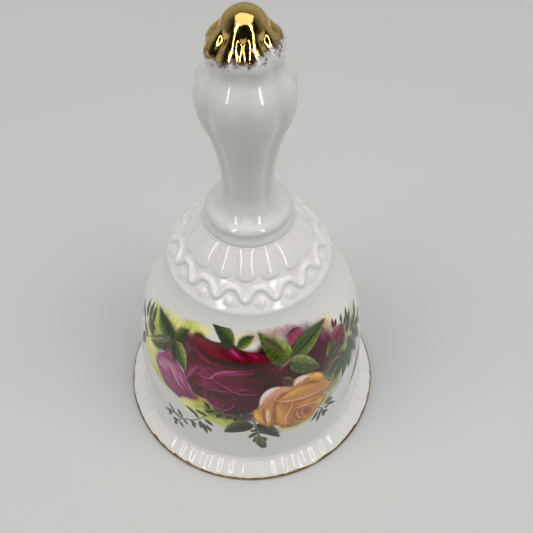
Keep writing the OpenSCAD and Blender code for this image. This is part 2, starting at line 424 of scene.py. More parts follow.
# From the CAD pieces: wire radius, radii and heights of the eye and link, and heights of the loop and foot
LINK_LOW, LINK_HIGH = box_mm("hanger_link")
EYE_LOW, EYE_HIGH = box_mm("crown_eye")
CLAPPER_LOW, CLAPPER_HIGH = box_mm("clapper_wire")
WIRE = (LINK_HIGH[1] - LINK_LOW[1]) / 2
EYE_R = EYE_HIGH[1] - WIRE
EYE_MIDDLE = EYE_LOW[2] + WIRE + EYE_R
LINK_R = LINK_HIGH[0] - WIRE
LINK_MIDDLE = (LINK_LOW[2] + LINK_HIGH[2]) / 2
LOOP_MIDDLE = CLAPPER_HIGH[2] - WIRE - LOOP_R
FOOT_Z = CLAPPER_LOW[2]


def tube(skin, path, radius, sides=20):
    """Round wire along a path of points, carried without twist, with rounded ends."""
    path = np.array(path, float)
    ahead = np.roll(path, -1, 0) - np.roll(path, 1, 0)
    ahead[0], ahead[-1] = path[1] - path[0], path[-1] - path[-2]
    ahead /= np.linalg.norm(ahead, axis=1)[:, None]
    side = np.cross(ahead[0], [0.31, 0.52, 0.79])
    turn = np.linspace(0, math.tau, sides, endpoint=False)
    rings = []
    for way in ahead:
        side = side - way * np.dot(side, way)
        side /= np.linalg.norm(side)
        rings.append(np.outer(np.cos(turn), side) + np.outer(np.sin(turn), np.cross(way, side)))
    rings = np.array(rings)
    radii = np.broadcast_to(radius, len(path))[:, None, None]
    dome = 0.8
    ends = []
    for end, sign in ((0, -1), (-1, 1)):
        ends.append(np.array([path[end] + sign * ahead[end] * math.sin(rise) * radii[end] * dome
                              + rings[end] * radii[end] * max(math.cos(rise), 0.001)
                              for rise in np.radians([60, 30])]))
    index = skin.grid(np.concatenate([ends[0], path[:, None, :] + rings * radii, ends[1][::-1]]))
    skin.quads(index)
    for ring, end, sign in ((index[0], 0, -1), (index[-1], -1, 1)):
        tip = path[end] + sign * ahead[end] * radii[end, 0] * dome
        skin.fan(ring, tip, flip=sign < 0)


def arc(middle_z, radius, start, end, plane, steps=40):
    """Points on an arc about the axis. Angles are from straight down, and plane is 'yz' or 'xz'."""
    turn = np.radians(np.linspace(start, end, steps))
    side, height = radius * np.sin(turn), middle_z - radius * np.cos(turn)
    zero = np.zeros_like(side)
    return np.column_stack((zero, side, height) if plane == "yz" else (side, zero, height)).tolist()


def wire_eye(material):
    skin = Skin()
    legs = np.linspace(EYE_HIGH[2] - 0.4, EYE_MIDDLE + 0.4, 14)
    bow = arc(EYE_MIDDLE, EYE_R, -90, 90, "yz")
    tube(skin, [(0, -EYE_R, z) for z in legs] + bow + [(0, EYE_R, z) for z in legs[::-1]], WIRE * 0.99, 24)
    return skin.build("wire_eye", material)


def wire_link(material):
    """Link bent round from one length of wire, its cut ends meeting at one side."""
    skin = Skin()
    tube(skin, arc(LINK_MIDDLE, LINK_R, 93, 447, "xz", 90), WIRE * 0.985, 24)
    return skin.build("wire_link", material)


def clapper_wire(material):
    """Loop, close wrap below it, straight shank through the bead, and the clinched foot."""
    skin = Skin()
    top = LOOP_MIDDLE - LOOP_R - 0.2
    shank = [(0, 0, z) for z in np.linspace(FOOT_Z + 0.5, top - 0.9, 60)]
    loop = arc(LOOP_MIDDLE, LOOP_R, 8, 352, "yz", 80)
    tube(skin, shank + [(0, 0.02, top - 0.5), (0, 0.12, top)] + loop, WIRE * 0.985, 24)
    share = np.linspace(0, 1, 90)
    ring_r = WIRE * 1.95 * np.minimum(1, share * 14 + 0.3)
    spin = share * WRAP_TURNS * math.tau
    wrap = [ring_r * np.sin(spin), -ring_r * np.cos(spin), top - 0.15 - share * WRAP_TURNS * WIRE * 1.9]
    tube(skin, np.column_stack(wrap), WIRE * 0.93, 18)
    foot = [(0, 0, z) for z in np.linspace(FOOT_Z + 0.3, FOOT_Z + 0.75, 5)]
    tube(skin, foot, np.array([1.25, 1.55, 1.66, 1.6, 1.4]), 28)
    return skin.build("clapper_wire_bent", material)


def clapper_bead(material):
    """Glazed bead with a dimple of thicker glaze round each end of its hole."""
    low, high = box_mm("clapper_bead")
    radius, land = (high[0] - low[0]) / 2, (high[2] - low[2]) / 2
    reach = math.acos(2.1 / radius)
    skin = Skin()
    side = [(radius * math.sin(t), radius * math.cos(t)) for t in np.linspace(-reach, reach, 56)]
    top = [(land - 0.02, 1.7), (land - 0.14, 1.15), (land - 0.42, 0.82), (land - 0.9, 0.66)]
    line = np.array([(-z, r) for z, r in top[::-1]] + side + top)
    line[:, 0] = np.clip(line[:, 0], -land, land)
    deg = angles(96)
    out_round = 1 + 0.004 * lumps(turned(radius, line[:, :1], deg[None, :]), 9, 41)
    grid = skin.grid(turned(line[:, 1:] * out_round, (high[2] + low[2]) / 2 + line[:, :1], deg[None, :]))
    skin.quads(grid)
    skin.quads(np.concatenate([grid[-1:], grid[:1]]))
    return skin.build("clapper_bead_glazed", material)


def cement_plug(material):
    """Set cement in the crown's hole: a slumped plug under the crown and a spread cap inside the handle."""
    bottom, top = (corner[2] for corner in box_mm("crown_plug"))
    skin = Skin()
    line = [(bottom + z, r) for z, r in ((0.02, 0.9), (0.03, 2.6), (0.35, 3.7), (0.9, 4.05))]
    line += [(SEAT_Z + z, r) for z, r in ((-0.2, 4.12), (0.05, 4.3), (0.15, 5.5), (0.6, 5.85), (1.3, 5.6),
                                          (1.9, 4.6))]
    line = np.array(line + [(top - 0.1, 2.8), (top - 0.05, 0.9)])
    deg = angles(72)
    rough = lumps(lathe(line, deg), 1.7, 53)
    grid = skin.grid(turned(line[:, 1:] + 0.05 * rough - 0.06, line[:, :1], deg[None, :]))
    skin.quads(grid)
    skin.fan(grid[-1], (0, 0, top - 0.05))
    skin.fan(grid[0], (0, 0, bottom + 0.02), flip=True)
    return skin.build("cement_fill", material)


# ---------------------------------------------------------------- painting the spray

DEG_MM = 0.56
BARE = 235.0
PAINT_GAIN = 1.45
PAINT_DEEPEN = 0.0075
PAINT_SHOWS = 0.015


def tones(stops, at):
    """Colour along evenly spaced stops."""
    stops = np.array(stops, float)
    place = np.linspace(0, 1, len(stops))
    return np.stack([np.interp(at, place, stops[:, i]) for i in range(3)], axis=-1)


def in_mm(points):
    """Drawn (degrees, height) points, in millimetres."""
    return np.array(points, float) * (DEG_MM, 1)


def spline(a, b, c, d, parts=6):
    """Smooth curve from each point b to its next point c, with their neighbours a and d."""
    t = np.arange(parts)[:, None, None] / parts
    curve = 0.5 * (2 * b + (c - a) * t + (2 * a - 5 * b + 4 * c - d) * t**2 + (3 * b - a - 3 * c + d) * t**3)
    return curve.transpose(1, 0, 2).reshape(-1, 2)


def closed_curve(points):
    p = in_mm(points)
    return spline(np.roll(p, 1, 0), p, np.roll(p, -1, 0), np.roll(p, -2, 0))


def open_curve(points):
    p = in_mm(points)
    p = np.concatenate([2 * p[:1] - p[1:2], p, 2 * p[-1:] - p[-2:-1]])
    return np.concatenate([spline(p[:-3], p[1:-2], p[2:-1], p[3:]), p[-2:-1]])


def nearest(curve, x, z):
    """Distance from a curve, and the share of its pieces that come before its nearest place."""
    best, at = np.full(x.shape, 1e9), np.zeros_like(x)
    for i, ((ax, az), (bx, bz)) in enumerate(zip(curve[:-1], curve[1:])):
        dx, dz = bx - ax, bz - az
        t = np.clip(((x - ax) * dx + (z - az) * dz) / (dx * dx + dz * dz + 1e-12), 0, 1)
        gap = np.hypot(ax + t * dx - x, az + t * dz - z)
        at = np.where(gap < best, (i + t) / (len(curve) - 1), at)
        best = np.minimum(best, gap)
    return best, at


def depth_in(curve, x, z):
    """Distance in from a closed curve, negative outside."""
    ring = np.concatenate([curve, curve[:1]])
    inside = np.zeros(x.shape, bool)
    for (ax, az), (bx, bz) in zip(ring[:-1], ring[1:]):
        if az != bz:
            inside ^= ((az > z) != (bz > z)) & (x < (bx - ax) * (z - az) / (bz - az) + ax)
    gap = nearest(ring, x, z)[0]
    return np.where(inside, gap, -gap)


class Canvas:
    """Paint in layers over points given by angle and height. Drawn points are (degrees, millimetres)."""

    def __init__(self, deg, height):
        self.x = deg * DEG_MM
        self.z = height
        self.rgb = np.full((deg.size, 3), BARE)
        self.cover = np.zeros(deg.size)
        self.lift()

    def lift(self):
        """Frees the strokes that follow from the last shape."""
        self.form = np.ones(self.x.size)

    def near(self, curve, margin):
        """Indices of the points in a curve's box, widened by a margin."""
        (left, bottom), (right, top) = curve.min(0) - margin, curve.max(0) + margin
        return np.flatnonzero((self.x > left) & (self.x < right) & (self.z > bottom) & (self.z < top))

    def lay(self, where, colour, amount):
        """Lays one colour, or one for each point, over what is there."""
        amount = np.clip(amount, 0, 1)
        under = self.cover[where] * (1 - amount)
        total = amount + under
        mixed = np.asarray(colour, float) * amount[:, None] + self.rgb[where] * under[:, None]
        self.rgb[where] = mixed / np.maximum(total, 1e-6)[:, None]
        self.cover[where] = total

    def shadow(self, where, depth, reach, amount):
        """Darkens what lies just outside a shape, given the depth inside it."""
        fall = bulge(np.minimum(depth, 0), reach) * (depth < 0)
        self.rgb[where] *= 1 - np.clip(fall * amount, 0, 1)[:, None]

    def shape(self, outline, stops, toward=90, soft=0.12, streak=0.1, grain=None, shade=0.3, seed=0):
        """A closed shape shaded along its stops. Strokes that follow stay inside it until lift()."""
        curve = closed_curve(outline)
        where = self.near(curve, 1.6)
        x, z = self.x[where], self.z[where]
        depth = depth_in(curve, x, z)
        self.shadow(where, depth, 0.5, shade)
        way = np.array([math.cos(math.radians(toward)), math.sin(math.radians(toward))])
        along = curve @ way
        at = (x * way[0] + z * way[1] - along.min()) / np.ptp(along)
        turn = math.radians(toward if grain is None else grain)
        u, v = x * math.cos(turn) + z * math.sin(turn), z * math.cos(turn) - x * math.sin(turn)
        at = at + streak * (waves(u / 4, v, 2.2, seed + 3) + 0.5 * waves(u / 3, v, 0.8, seed + 5))
        amount = step(-soft, soft, depth)
        self.lay(where, tones(stops, at), amount)
        self.form = np.zeros(self.x.size)
        self.form[where] = amount

    def stroke(self, width, amount, colour, points, soft=0.85, ends=(0.3, 0.3)):
        """Brush stroke along a curve, thinner towards its ends. soft is the share of it that fades."""
        curve = open_curve(points)
        where = self.near(curve, width + 0.5)
        x, z = self.x[where], self.z[where]
        gap, at = nearest(curve, x, z)
        slim = np.minimum(ends[0] + (1 - ends[0]) * step(0, 0.45, at),
                          ends[1] + (1 - ends[1]) * step(1, 0.55, at))
        half = width / 2 * slim
        edge = step(half * (1 + 0.5 * soft) + 0.06, half * (1 - soft) - 0.06, gap)
        uneven = 1 + 0.16 * waves(x, z, 0.9, int(abs(points[0][0]) * 7 + width * 10))
        self.lay(where, colour, amount * edge * self.form[where] * uneven)

    def strokes(self, soft, rows):
        """Strokes of one softness, each a width, an amount, a colour and its points."""
        for row in rows:
            self.stroke(*row, soft)

    def wash(self, centre, size, colour, amount=0.6, seed=0):
        """Soft patch of thin colour with an uneven edge."""
        cx, cz = centre[0] * DEG_MM, centre[1]
        rx, rz = size[0] * DEG_MM, size[1]
        box = np.array([[cx - 2 * rx, cz - 2 * rz], [cx + 2 * rx, cz + 2 * rz]])
        where = self.near(box, 0)
        x, z = self.x[where], self.z[where]
        reach = np.hypot((x - cx) / rx, (z - cz) / rz) + 0.14 * waves(x, z, 4.2, seed + 17)
        tone = np.array(colour, float) * (1 + 0.05 * waves(x, z, 2.3, seed + 29))[:, None]
        self.lay(where, tone, amount * step(1.5, 0.3, reach))

    def leaf(self, base, tip, half, dark, light, bend=0.0, lit=1, veins=5, blunt=0.75, seed=0, shade=0.35):
        """A leaf from base to tip: two differently lit halves, a thin midrib, soft veins and a pale edge."""
        b, t = in_mm(base), in_mm(tip)
        length = math.hypot(*(t - b))
        ax, az = (t - b) / length
        where = self.near(np.array([b, t]), half + abs(bend) + 0.8)
        x, z = self.x[where] - b[0], self.z[where] - b[1]
        u = (x * ax + z * az) / length
        s = (z * ax - x * az) - bend * 4 * u * (1 - u)
        width = half * np.sin(math.pi * np.clip(u, 0.001, 0.999) ** blunt) ** 0.8
        width = width * (1 + 0.015 * waves(u * length, s * 0, 1.6, seed))
        past = np.clip(np.abs(u - 0.5) - 0.5, 0, 9) * length
        depth = np.where((u > 0) & (u < 1), width - np.abs(s), -np.hypot(past, s))
        self.shadow(where, depth, 0.45, shade)
        share = np.abs(s) / np.maximum(width, 0.05)
        at = step(-0.7, 0.8, s * lit / half) + 0.2 * waves(u * length, s * 2, 2.2, seed + 1)
        colour = tones([dark, light], at)
        colour = 0.8 * colour + 0.07 * colour.mean(axis=1, keepdims=True)
        ribs = bulge((u * veins - share * 0.55) % 1 - 0.5, 0.14) * step(0.08, 0.4, share)
        colour = colour * (0.97 - 0.13 * ribs + 0.2 * bulge(share - 0.8, 0.2))[:, None]
        colour = colour * (1 - 0.34 * bulge(s, 0.16) * step(1.0, 0.85, u))[:, None]
        self.lay(where, np.clip(colour, 0, 255), step(-0.16, 0.2, depth))

    def sprig(self, stem, leaflets, colour, width=0.42, half=0.5):
        """A thin stem with small dark leaflets."""
        self.stroke(width, 0.95, colour, stem, 0.4, (0.7, 0.4))
        for i, (base, tip) in enumerate(leaflets):
            green = np.array(colour) * (0.74 + 0.34 * ((i * 7) % 5) / 4)
            self.leaf(base, tip, half, green * 0.72, green * 1.12, 0.1 * (-1) ** i, 1, 1, 1.0, i, 0.0)


def paint_washes(c):
    """Two ground shapes and thin washes under the flowers."""
    yellow, lime, olive, ochre = (222, 215, 138), (180, 188, 84), (150, 156, 78), (168, 152, 62)
    maroon, plum = (62, 16, 30), (92, 46, 66)
    c.shape([(-69, 47), (-64, 50.4), (-50, 51.6), (-40, 53.4), (-31, 54), (-30, 51), (-44, 46), (-54, 40),
             (-56, 34), (-50, 29.6), (-36, 28), (-22, 24.4), (-12, 22.8), (-4, 25), (-14, 29.6),
             (-26, 31.6), (-34, 30), (-44, 27.4), (-60, 29), (-67, 32), (-70, 38)],
            [(196, 192, 108), (160, 162, 80), (186, 188, 112), (184, 178, 88)], toward=270, soft=1.5,
            streak=0.25, shade=0)
    c.shape([(-41, 49), (-36, 51.2), (-20, 51), (0, 50.4), (6, 51.8), (20, 50.6), (30, 51.4), (40, 51),
             (47, 48.6), (48, 44), (46, 40), (42, 37), (30, 38.6), (10, 38), (0, 34), (-20, 33), (-36, 40),
             (-40, 44)],
            [(104, 54, 74), (58, 14, 28), (48, 8, 20), (56, 14, 28), (92, 48, 60)], toward=0, soft=1.1,
            streak=0.2, shade=0)
    c.lift()
    for centre, size, colour, amount in (
            ((-51, 51.2), (7, 1.6), yellow, 0.85), ((-37, 53), (8, 1.5), lime, 0.9),
            ((-30, 53.6), (6, 1.3), yellow, 0.8), ((-67, 45), (8, 4.5), lime, 0.85),
            ((-64, 38), (8, 5), yellow, 0.85), ((-60, 32), (9, 3.4), (196, 200, 134), 0.85),
            ((-50, 29.6), (8, 1.7), olive, 0.7), ((-60, 42), (9, 4), olive, 0.8),
            ((-53, 47), (9, 3.4), (120, 130, 66), 0.75), ((-27, 31), (9, 4.4), ochre, 0.95),
            ((-31, 26.6), (8, 3.6), yellow, 0.85), ((-21, 26), (9, 3.6), lime, 0.9),
            ((-12, 24.4), (9, 3), lime, 0.9), ((-14, 28), (11, 2.4), (70, 78, 44), 0.9),
            ((-3, 28), (6, 2.6), (56, 40, 38), 0.95), ((-4, 53.2), (7, 1.8), (206, 198, 128), 0.8),
            ((8, 54.2), (11, 2), (170, 140, 110), 0.6), ((18, 54.4), (8, 1.4), (150, 84, 86), 0.6),
            ((26, 52.6), (8, 2.2), (140, 60, 84), 0.85), ((34, 51), (9, 2.4), plum, 0.6),
            ((48, 49.2), (8, 3), (212, 204, 150), 0.85), ((42, 46), (8, 5), plum, 0.9),
            ((40, 41), (9, 6), maroon, 0.95), ((28, 45), (13, 6.5), maroon, 1.0),
            ((12, 45), (14, 6.5), maroon, 1.0), ((30, 39), (13, 5), maroon, 1.0),
            ((50, 41), (9, 4), (92, 64, 62), 0.9), ((-40, 46), (8, 4), plum, 0.9),
            ((44, 31), (8, 5.5), (128, 130, 72), 0.9), ((48, 36), (10, 5), (86, 94, 62), 0.95),
            ((60, 41), (10, 5), (120, 130, 86), 0.85), ((62, 34), (11, 5), (132, 140, 100), 0.75),
            ((68, 42), (9, 4), (170, 172, 122), 0.6), ((21, 19.8), (12, 1.7), (190, 180, 96), 0.9),
            ((36, 25), (7, 3), (150, 150, 86), 0.8)):
        c.wash(centre, size, colour, amount, int(centre[0] * 3 + centre[1]) % 97)


def crimson_rose(c):
    """The large dark rose: its body, bowl, heart and ruffled upper petals."""
    deep, dark, crimson, pink = (40, 0, 8), (62, 2, 18), (112, 8, 44), (152, 38, 100)
    c.shape([(-34, 46), (-20, 47), (-4, 48), (8, 48), (17, 46), (18, 42), (8, 39), (4, 36), (2, 31),
             (-4, 29.4), (-10, 28.9), (-15, 28.6), (-19, 30.2), (-23, 32.6), (-30, 33.2), (-33, 35.6),
             (-36, 38), (-36, 42)],
            [(64, 12, 32), (72, 8, 28), (84, 10, 34)], toward=100, soft=0.3, seed=1)
    c.strokes(0.95, [
        (6, 0.9, deep, [(2, 44), (8, 41), (4, 35)]),
        (3.4, 0.7, (132, 54, 92), [(-34.5, 38), (-32, 41.5), (-27, 44.4)]),
        (1.5, 0.6, (160, 88, 124), [(-34.6, 37.4), (-32.6, 40.6), (-29.4, 43.4)]),
        (3, 0.7, (106, 34, 66), [(-31, 36), (-27, 39), (-26, 43)]),
        (2, 0.7, (58, 8, 26), [(-27.6, 34.4), (-26.4, 37), (-26.6, 39.4)])])
    # the bowl of the flower, with its rolled edges
    c.shape([(-28.4, 41.6), (-26, 44), (-20, 45.2), (-12, 45.4), (-3, 45.6), (6, 45.4), (10, 43), (6, 40),
             (2, 37.4), (-6, 37.6), (-11, 38.6), (-18, 40.2), (-24, 40.6)],
            [(116, 42, 74), (104, 28, 58), (76, 8, 30), (52, 2, 16)], toward=0, soft=0.7, streak=0.12,
            grain=15, shade=0.1, seed=71)
    c.strokes(0.9, [
        (1.6, 0.55, (150, 66, 106), [(-19, 42), (-15, 43.6), (-8, 44.3), (0, 44.6)]),
        (1.5, 0.6, (86, 16, 44), [(-22, 43.8), (-17.5, 41.6), (-10, 41.4), (-2, 42)]),
        (1.3, 0.6, (134, 52, 88), [(-12, 40.2), (-7, 39), (-1, 39.4)]),
        (1.2, 0.7, deep, [(-4, 43), (2, 43.6), (8, 43)])])
    c.shape([(-27.6, 40.4), (-24, 40.8), (-18, 40.4), (-12.4, 39), (-9.6, 37.4), (-13, 37.3), (-20, 37),
             (-27, 37.2)],
            [(98, 26, 54), (112, 36, 68), (84, 12, 38)], toward=60, soft=0.5, streak=0.1, grain=10,
            shade=0.15, seed=81)
    c.shape([(-25.2, 37.2), (-19, 37.6), (-13, 37.6), (-9, 37), (-8.4, 33.6), (-10, 31), (-13, 29.6),
             (-16.5, 29), (-20, 30.8), (-23, 33), (-25, 35)],
            [(80, 18, 42), (68, 10, 32), (98, 32, 62)], toward=220, soft=0.4, streak=0.12, grain=260,
            shade=0.2, seed=41)
    c.stroke(2.2, 0.7, (54, 6, 24), [(-20, 35.4), (-15, 35.6), (-11, 35)], 0.9)
    c.lift()
    c.strokes(0.6, [
        (0.5, 0.85, (146, 70, 104), [(-24.4, 37), (-24.4, 35), (-22, 32.4), (-19, 30.6), (-14, 30),
            (-10.4, 31.6), (-8.8, 34), (-9.4, 36.6)]),
        (0.42, 0.7, (136, 58, 94), [(-20, 35.6), (-19, 33.4), (-16, 32), (-13, 32.8), (-12, 35)]),
        (0.36, 0.7, (128, 50, 86), [(-17.4, 35), (-16.6, 33.6), (-14.8, 33.6), (-14, 35)]),
        (0.6, 0.9, (172, 98, 136), [(-29, 41.4), (-25, 40.9), (-21.5, 41.2), (-19.4, 42.8), (-16, 44),
            (-11, 44.8), (-5, 45.2), (1, 45.4)]),
        (0.5, 0.85, (158, 84, 120), [(-21.4, 41.2), (-17, 40.2), (-12, 39), (-8.6, 37.8), (-3, 37.4),
            (3, 37.5)]),
        (0.46, 0.8, (154, 80, 116), [(-27.4, 37.4), (-21, 37.3), (-15, 37.6), (-11, 38)]),
        (0.4, 0.6, (146, 70, 106), [(-24.6, 40.3), (-24.8, 38.6), (-24.4, 37)])])
    # the ruffled upper petals
    c.shape([(-34.6, 51.8), (-31, 52.3), (-27, 51.9), (-22, 51.7), (-16, 52.1), (-11, 52.2), (-7, 51.1),
             (-3, 50.5), (3, 50), (8, 49.2), (12, 48.2), (16, 46.8), (15, 45), (6, 45.2), (-3, 45.4),
             (-12, 45.4), (-20, 45.3), (-26, 45.7), (-31, 46.8), (-34, 48.4), (-35, 50.2)],
            [(84, 6, 32), (66, 0, 18), (100, 4, 38), (92, 2, 34), (74, 0, 24)], toward=90, soft=0.2,
            streak=0.1, grain=12, shade=0.3, seed=51)
    c.strokes(0.95, [
        (1.6, 0.75, (128, 40, 76), [(-34, 48), (-30, 47), (-25, 46.1), (-19, 45.9)]),
        (1.1, 0.75, deep, [(-33.6, 49.6), (-29, 48.2), (-23, 47.2), (-16, 46.9), (-7, 46.9), (3, 46.6)]),
        (1.8, 0.8, crimson, [(-33, 50.8), (-27, 50.2), (-20, 48.9), (-14, 47.8)]),
        (1.4, 0.7, dark, [(-24, 51.4), (-18, 50.6), (-13.6, 48.8)]),
        (1.8, 0.85, (138, 20, 74), [(-17, 51.4), (-12.6, 50.6), (-8.6, 49.2), (-4.6, 48)]),
        (1.2, 0.8, pink, [(-13.4, 51), (-10.6, 50), (-7.4, 49), (-4.6, 48.6)]),
        (0.6, 0.7, (186, 92, 144), [(-12.4, 50.8), (-10, 49.9), (-7.6, 49.3)]),
        (1.0, 0.7, deep, [(-9.6, 51.2), (-6, 50.2), (-2, 49)]),
        (1.6, 0.75, (126, 20, 66), [(-3, 49.8), (1, 49.2), (5, 47.8)]),
        (0.8, 0.6, (150, 50, 100), [(-1.4, 49.7), (1.6, 49.3), (4, 48.5)]),
        (1.4, 0.7, (98, 8, 42), [(5, 48.8), (9, 47.8), (13, 46.6)]),
        (2.0, 0.8, deep, [(-13, 47), (-6, 46.6), (2, 46.2), (10, 45.8)])])
    c.lift()


def pink_bud(c):
    """The half-open pink bud at the left."""
    c.shape([(-56.6, 34.8), (-55.6, 38), (-51.6, 40.6), (-48.4, 43), (-46.4, 45), (-44, 42.4), (-39, 40.2),
             (-35, 38.6), (-33.4, 36), (-31.6, 33.6), (-28, 31.4), (-32, 30), (-36, 29.2), (-39, 27.5),
             (-43, 28), (-48, 28.7), (-52, 30.8), (-55, 32.8)],
            [(104, 32, 68), (136, 58, 98), (152, 80, 118), (124, 46, 84)], toward=110, soft=0.3,
            streak=0.12, grain=300, shade=0.3, seed=91)
    light, dim = (198, 150, 176), (118, 44, 80)
    c.strokes(0.8, [
        (3.4, 0.6, (184, 126, 156), [(-53.6, 34.6), (-50, 37), (-44, 37.6), (-38, 35.4)]),
        (2.2, 0.6, dim, [(-52.6, 39), (-48.6, 39.6), (-44, 40.6)]),
        (2.2, 0.6, dim, [(-49, 30.6), (-44, 29.6), (-38, 30)]),
        (1.0, 0.8, light, [(-54.6, 35.2), (-50.6, 35.2), (-46.4, 34.6)]),
        (0.9, 0.85, light, [(-44.6, 38.4), (-42.6, 36), (-39.6, 33.8), (-36, 32.2)]),
        (0.7, 0.7, (188, 132, 160), [(-39, 38.6), (-37.6, 36), (-34.4, 33.6)]),
        (0.7, 0.75, dim, [(-46.4, 37.4), (-44, 34.6), (-40.6, 32)]),
        (0.6, 0.7, dim, [(-51.4, 33.8), (-46, 32.8), (-42, 31)]),
        (0.6, 0.6, (180, 120, 150), [(-50, 31.8), (-45.6, 31.2), (-41, 29.4)]),
        (0.6, 0.6, dim, [(-36.6, 37.6), (-34.6, 34.6), (-31.6, 32.4)]),
        (0.5, 0.6, light, [(-48.6, 39.8), (-46, 38.2), (-44.6, 38.4)])])
    c.lift()


def yellow_rose(c):
    """The yellow rose in front: soft folds first, then the edges of its petals."""
    rust, gold, butter, peach = (126, 70, 48), (196, 142, 66), (212, 168, 98), (210, 150, 120)
    c.shape([(0.2, 31), (3, 32), (3.2, 35), (5.2, 37.6), (8.4, 39), (12.4, 39.3), (17, 38.5), (20, 37.7),
             (20.4, 39.6), (23, 40.4), (28, 40.3), (31.4, 39.8), (35, 38.6), (38, 36.6), (38.8, 33.6),
             (40, 32.2), (43.4, 30.6), (41, 29.2), (37.6, 28.6), (38.2, 26.6), (36, 24.6), (33, 22.6),
             (30, 21), (25.6, 20.2), (18.6, 19.9), (13.6, 20.9), (12, 22.2), (9, 22.7), (6.4, 22.8),
             (3, 24.8), (1, 27), (0, 29)],
            [(142, 88, 58), (172, 116, 66), (184, 132, 78), (164, 108, 66)], toward=90, soft=0.3,
            streak=0.14, grain=70, shade=0.3, seed=101)
    white = (228, 214, 216)
    c.strokes(0.9, [
        (4.4, 0.85, (202, 146, 126), [(5, 33.4), (7.6, 36.4), (13, 37.4), (18, 36.8)]),
        (2.6, 0.9, white, [(3.6, 33.4), (5, 36.4), (8.6, 38.4), (13, 38.7)]),
        (1.5, 0.7, peach, [(12, 38.6), (17, 37.9), (20, 37.2)]),
        (2.0, 0.7, rust, [(9.8, 30.6), (11.6, 33.4), (16, 35.8), (21, 36.4)]),
        (3.2, 0.9, gold, [(13.6, 34.2), (19, 35.2), (26, 35.4), (32, 34.4)]),
        (1.6, 0.7, butter, [(15, 34.6), (20, 35.6), (25, 35.8)]),
        (2.6, 0.9, (226, 208, 204), [(21.4, 38.2), (24.6, 39.4), (29.4, 39.2)]),
        (2.8, 0.85, (216, 164, 72), [(30, 38.4), (34, 37.4), (37, 35.6)]),
        (1.4, 0.6, (232, 190, 108), [(31.6, 38.9), (34.6, 37.9), (36.8, 36.4)]),
        (1.2, 0.75, rust, [(24, 37), (30, 36.4), (35.6, 34.2)]),
        (3.6, 0.7, (148, 90, 64), [(15, 31.6), (20, 30.2), (28, 29.4), (36, 29)]),
        (5.4, 0.7, (142, 84, 64), [(19, 27.6), (23, 25), (29, 23)]),
        (3.0, 0.85, (210, 150, 84), [(12.6, 31), (13, 28), (13.4, 24.6), (15.6, 22)]),
        (1.4, 0.65, rust, [(10.4, 31), (10.2, 27.4), (10.6, 23.4)]),
        (1.6, 0.7, (176, 112, 70), [(19.6, 30), (19, 27.6), (18.4, 24.6), (21, 21.6)]),
        (2.2, 0.8, gold, [(21.4, 29.8), (27, 29.2), (34, 28.6)]),
        (2.2, 0.7, butter, [(31.6, 26.6), (34.6, 26.4), (36.8, 26.8)]),
        (2.6, 0.8, (192, 126, 66), [(20, 21.6), (26, 21.2), (32, 23)]),
        (1.0, 0.7, rust, [(21.6, 24.6), (22.6, 22.6), (26, 21.4)]),
        (3.6, 0.85, (136, 80, 66), [(25.2, 25.4), (28, 25), (29.2, 24)]),
        (1.6, 0.75, (112, 58, 58), [(26, 25), (28.4, 24.6)]),
        (3.2, 0.9, (212, 152, 66), [(2, 30.4), (2.6, 27.6), (5, 24.6)]),
        (1.4, 0.7, (232, 178, 92), [(1.2, 30), (1.8, 28), (4, 25.6)]),
        (1.2, 0.7, rust, [(5, 31.6), (5.4, 28), (5.8, 24.6)]),
        (1.8, 0.8, (228, 190, 140), [(7.6, 31), (7, 28), (7.8, 24.6)])])
    c.strokes(0.5, [
        (0.9, 0.95, peach, [(10.2, 34.8), (12.6, 33.6), (18, 32.4), (24, 31.6), (30, 31.1), (36, 30.7),
            (40.6, 31)]),
        (0.5, 0.7, (132, 70, 48), [(11, 33.6), (15, 32.3), (21, 31.3), (29, 30.4), (37, 29.9)]),
        (0.6, 0.9, (226, 170, 122), [(19.8, 32), (19, 29.6), (16.8, 27), (15.6, 24.6), (16.8, 22.4),
            (19.4, 20.8)]),
        (0.6, 0.9, (226, 172, 132), [(20.6, 28.5), (24, 28.1), (28, 27.6), (31.8, 26.9)]),
        (0.44, 0.65, (132, 72, 50), [(21, 27.7), (25, 27.2), (30, 26.5)]),
        (0.6, 0.8, (218, 158, 104), [(21.4, 27.4), (21.8, 25), (23.6, 22.8), (26.6, 21.9)]),
        (0.5, 0.8, (206, 144, 108), [(25.4, 26.8), (24.2, 25.2), (25.4, 23.4), (28, 22.9)]),
        (0.44, 0.75, (200, 138, 104), [(27, 26.3), (29.6, 25.8), (30.6, 24.2), (29.2, 22.8)]),
        (0.4, 0.6, (190, 126, 98), [(26.8, 25.3), (28.6, 25), (28.4, 23.9)]),
        (0.6, 0.8, (230, 184, 128), [(31.6, 24.2), (34, 25.2), (37.4, 26.8)]),
        (0.6, 0.8, (222, 170, 106), [(30.4, 22.3), (33.4, 23.2), (36, 25)]),
        (0.5, 0.8, (236, 206, 160), [(6.2, 31.2), (6.8, 28.6), (6.6, 25.6), (7.4, 23)]),
        (0.5, 0.7, (236, 190, 120), [(38.4, 33.4), (40.6, 31.8), (42.8, 30.6)])])
    c.lift()


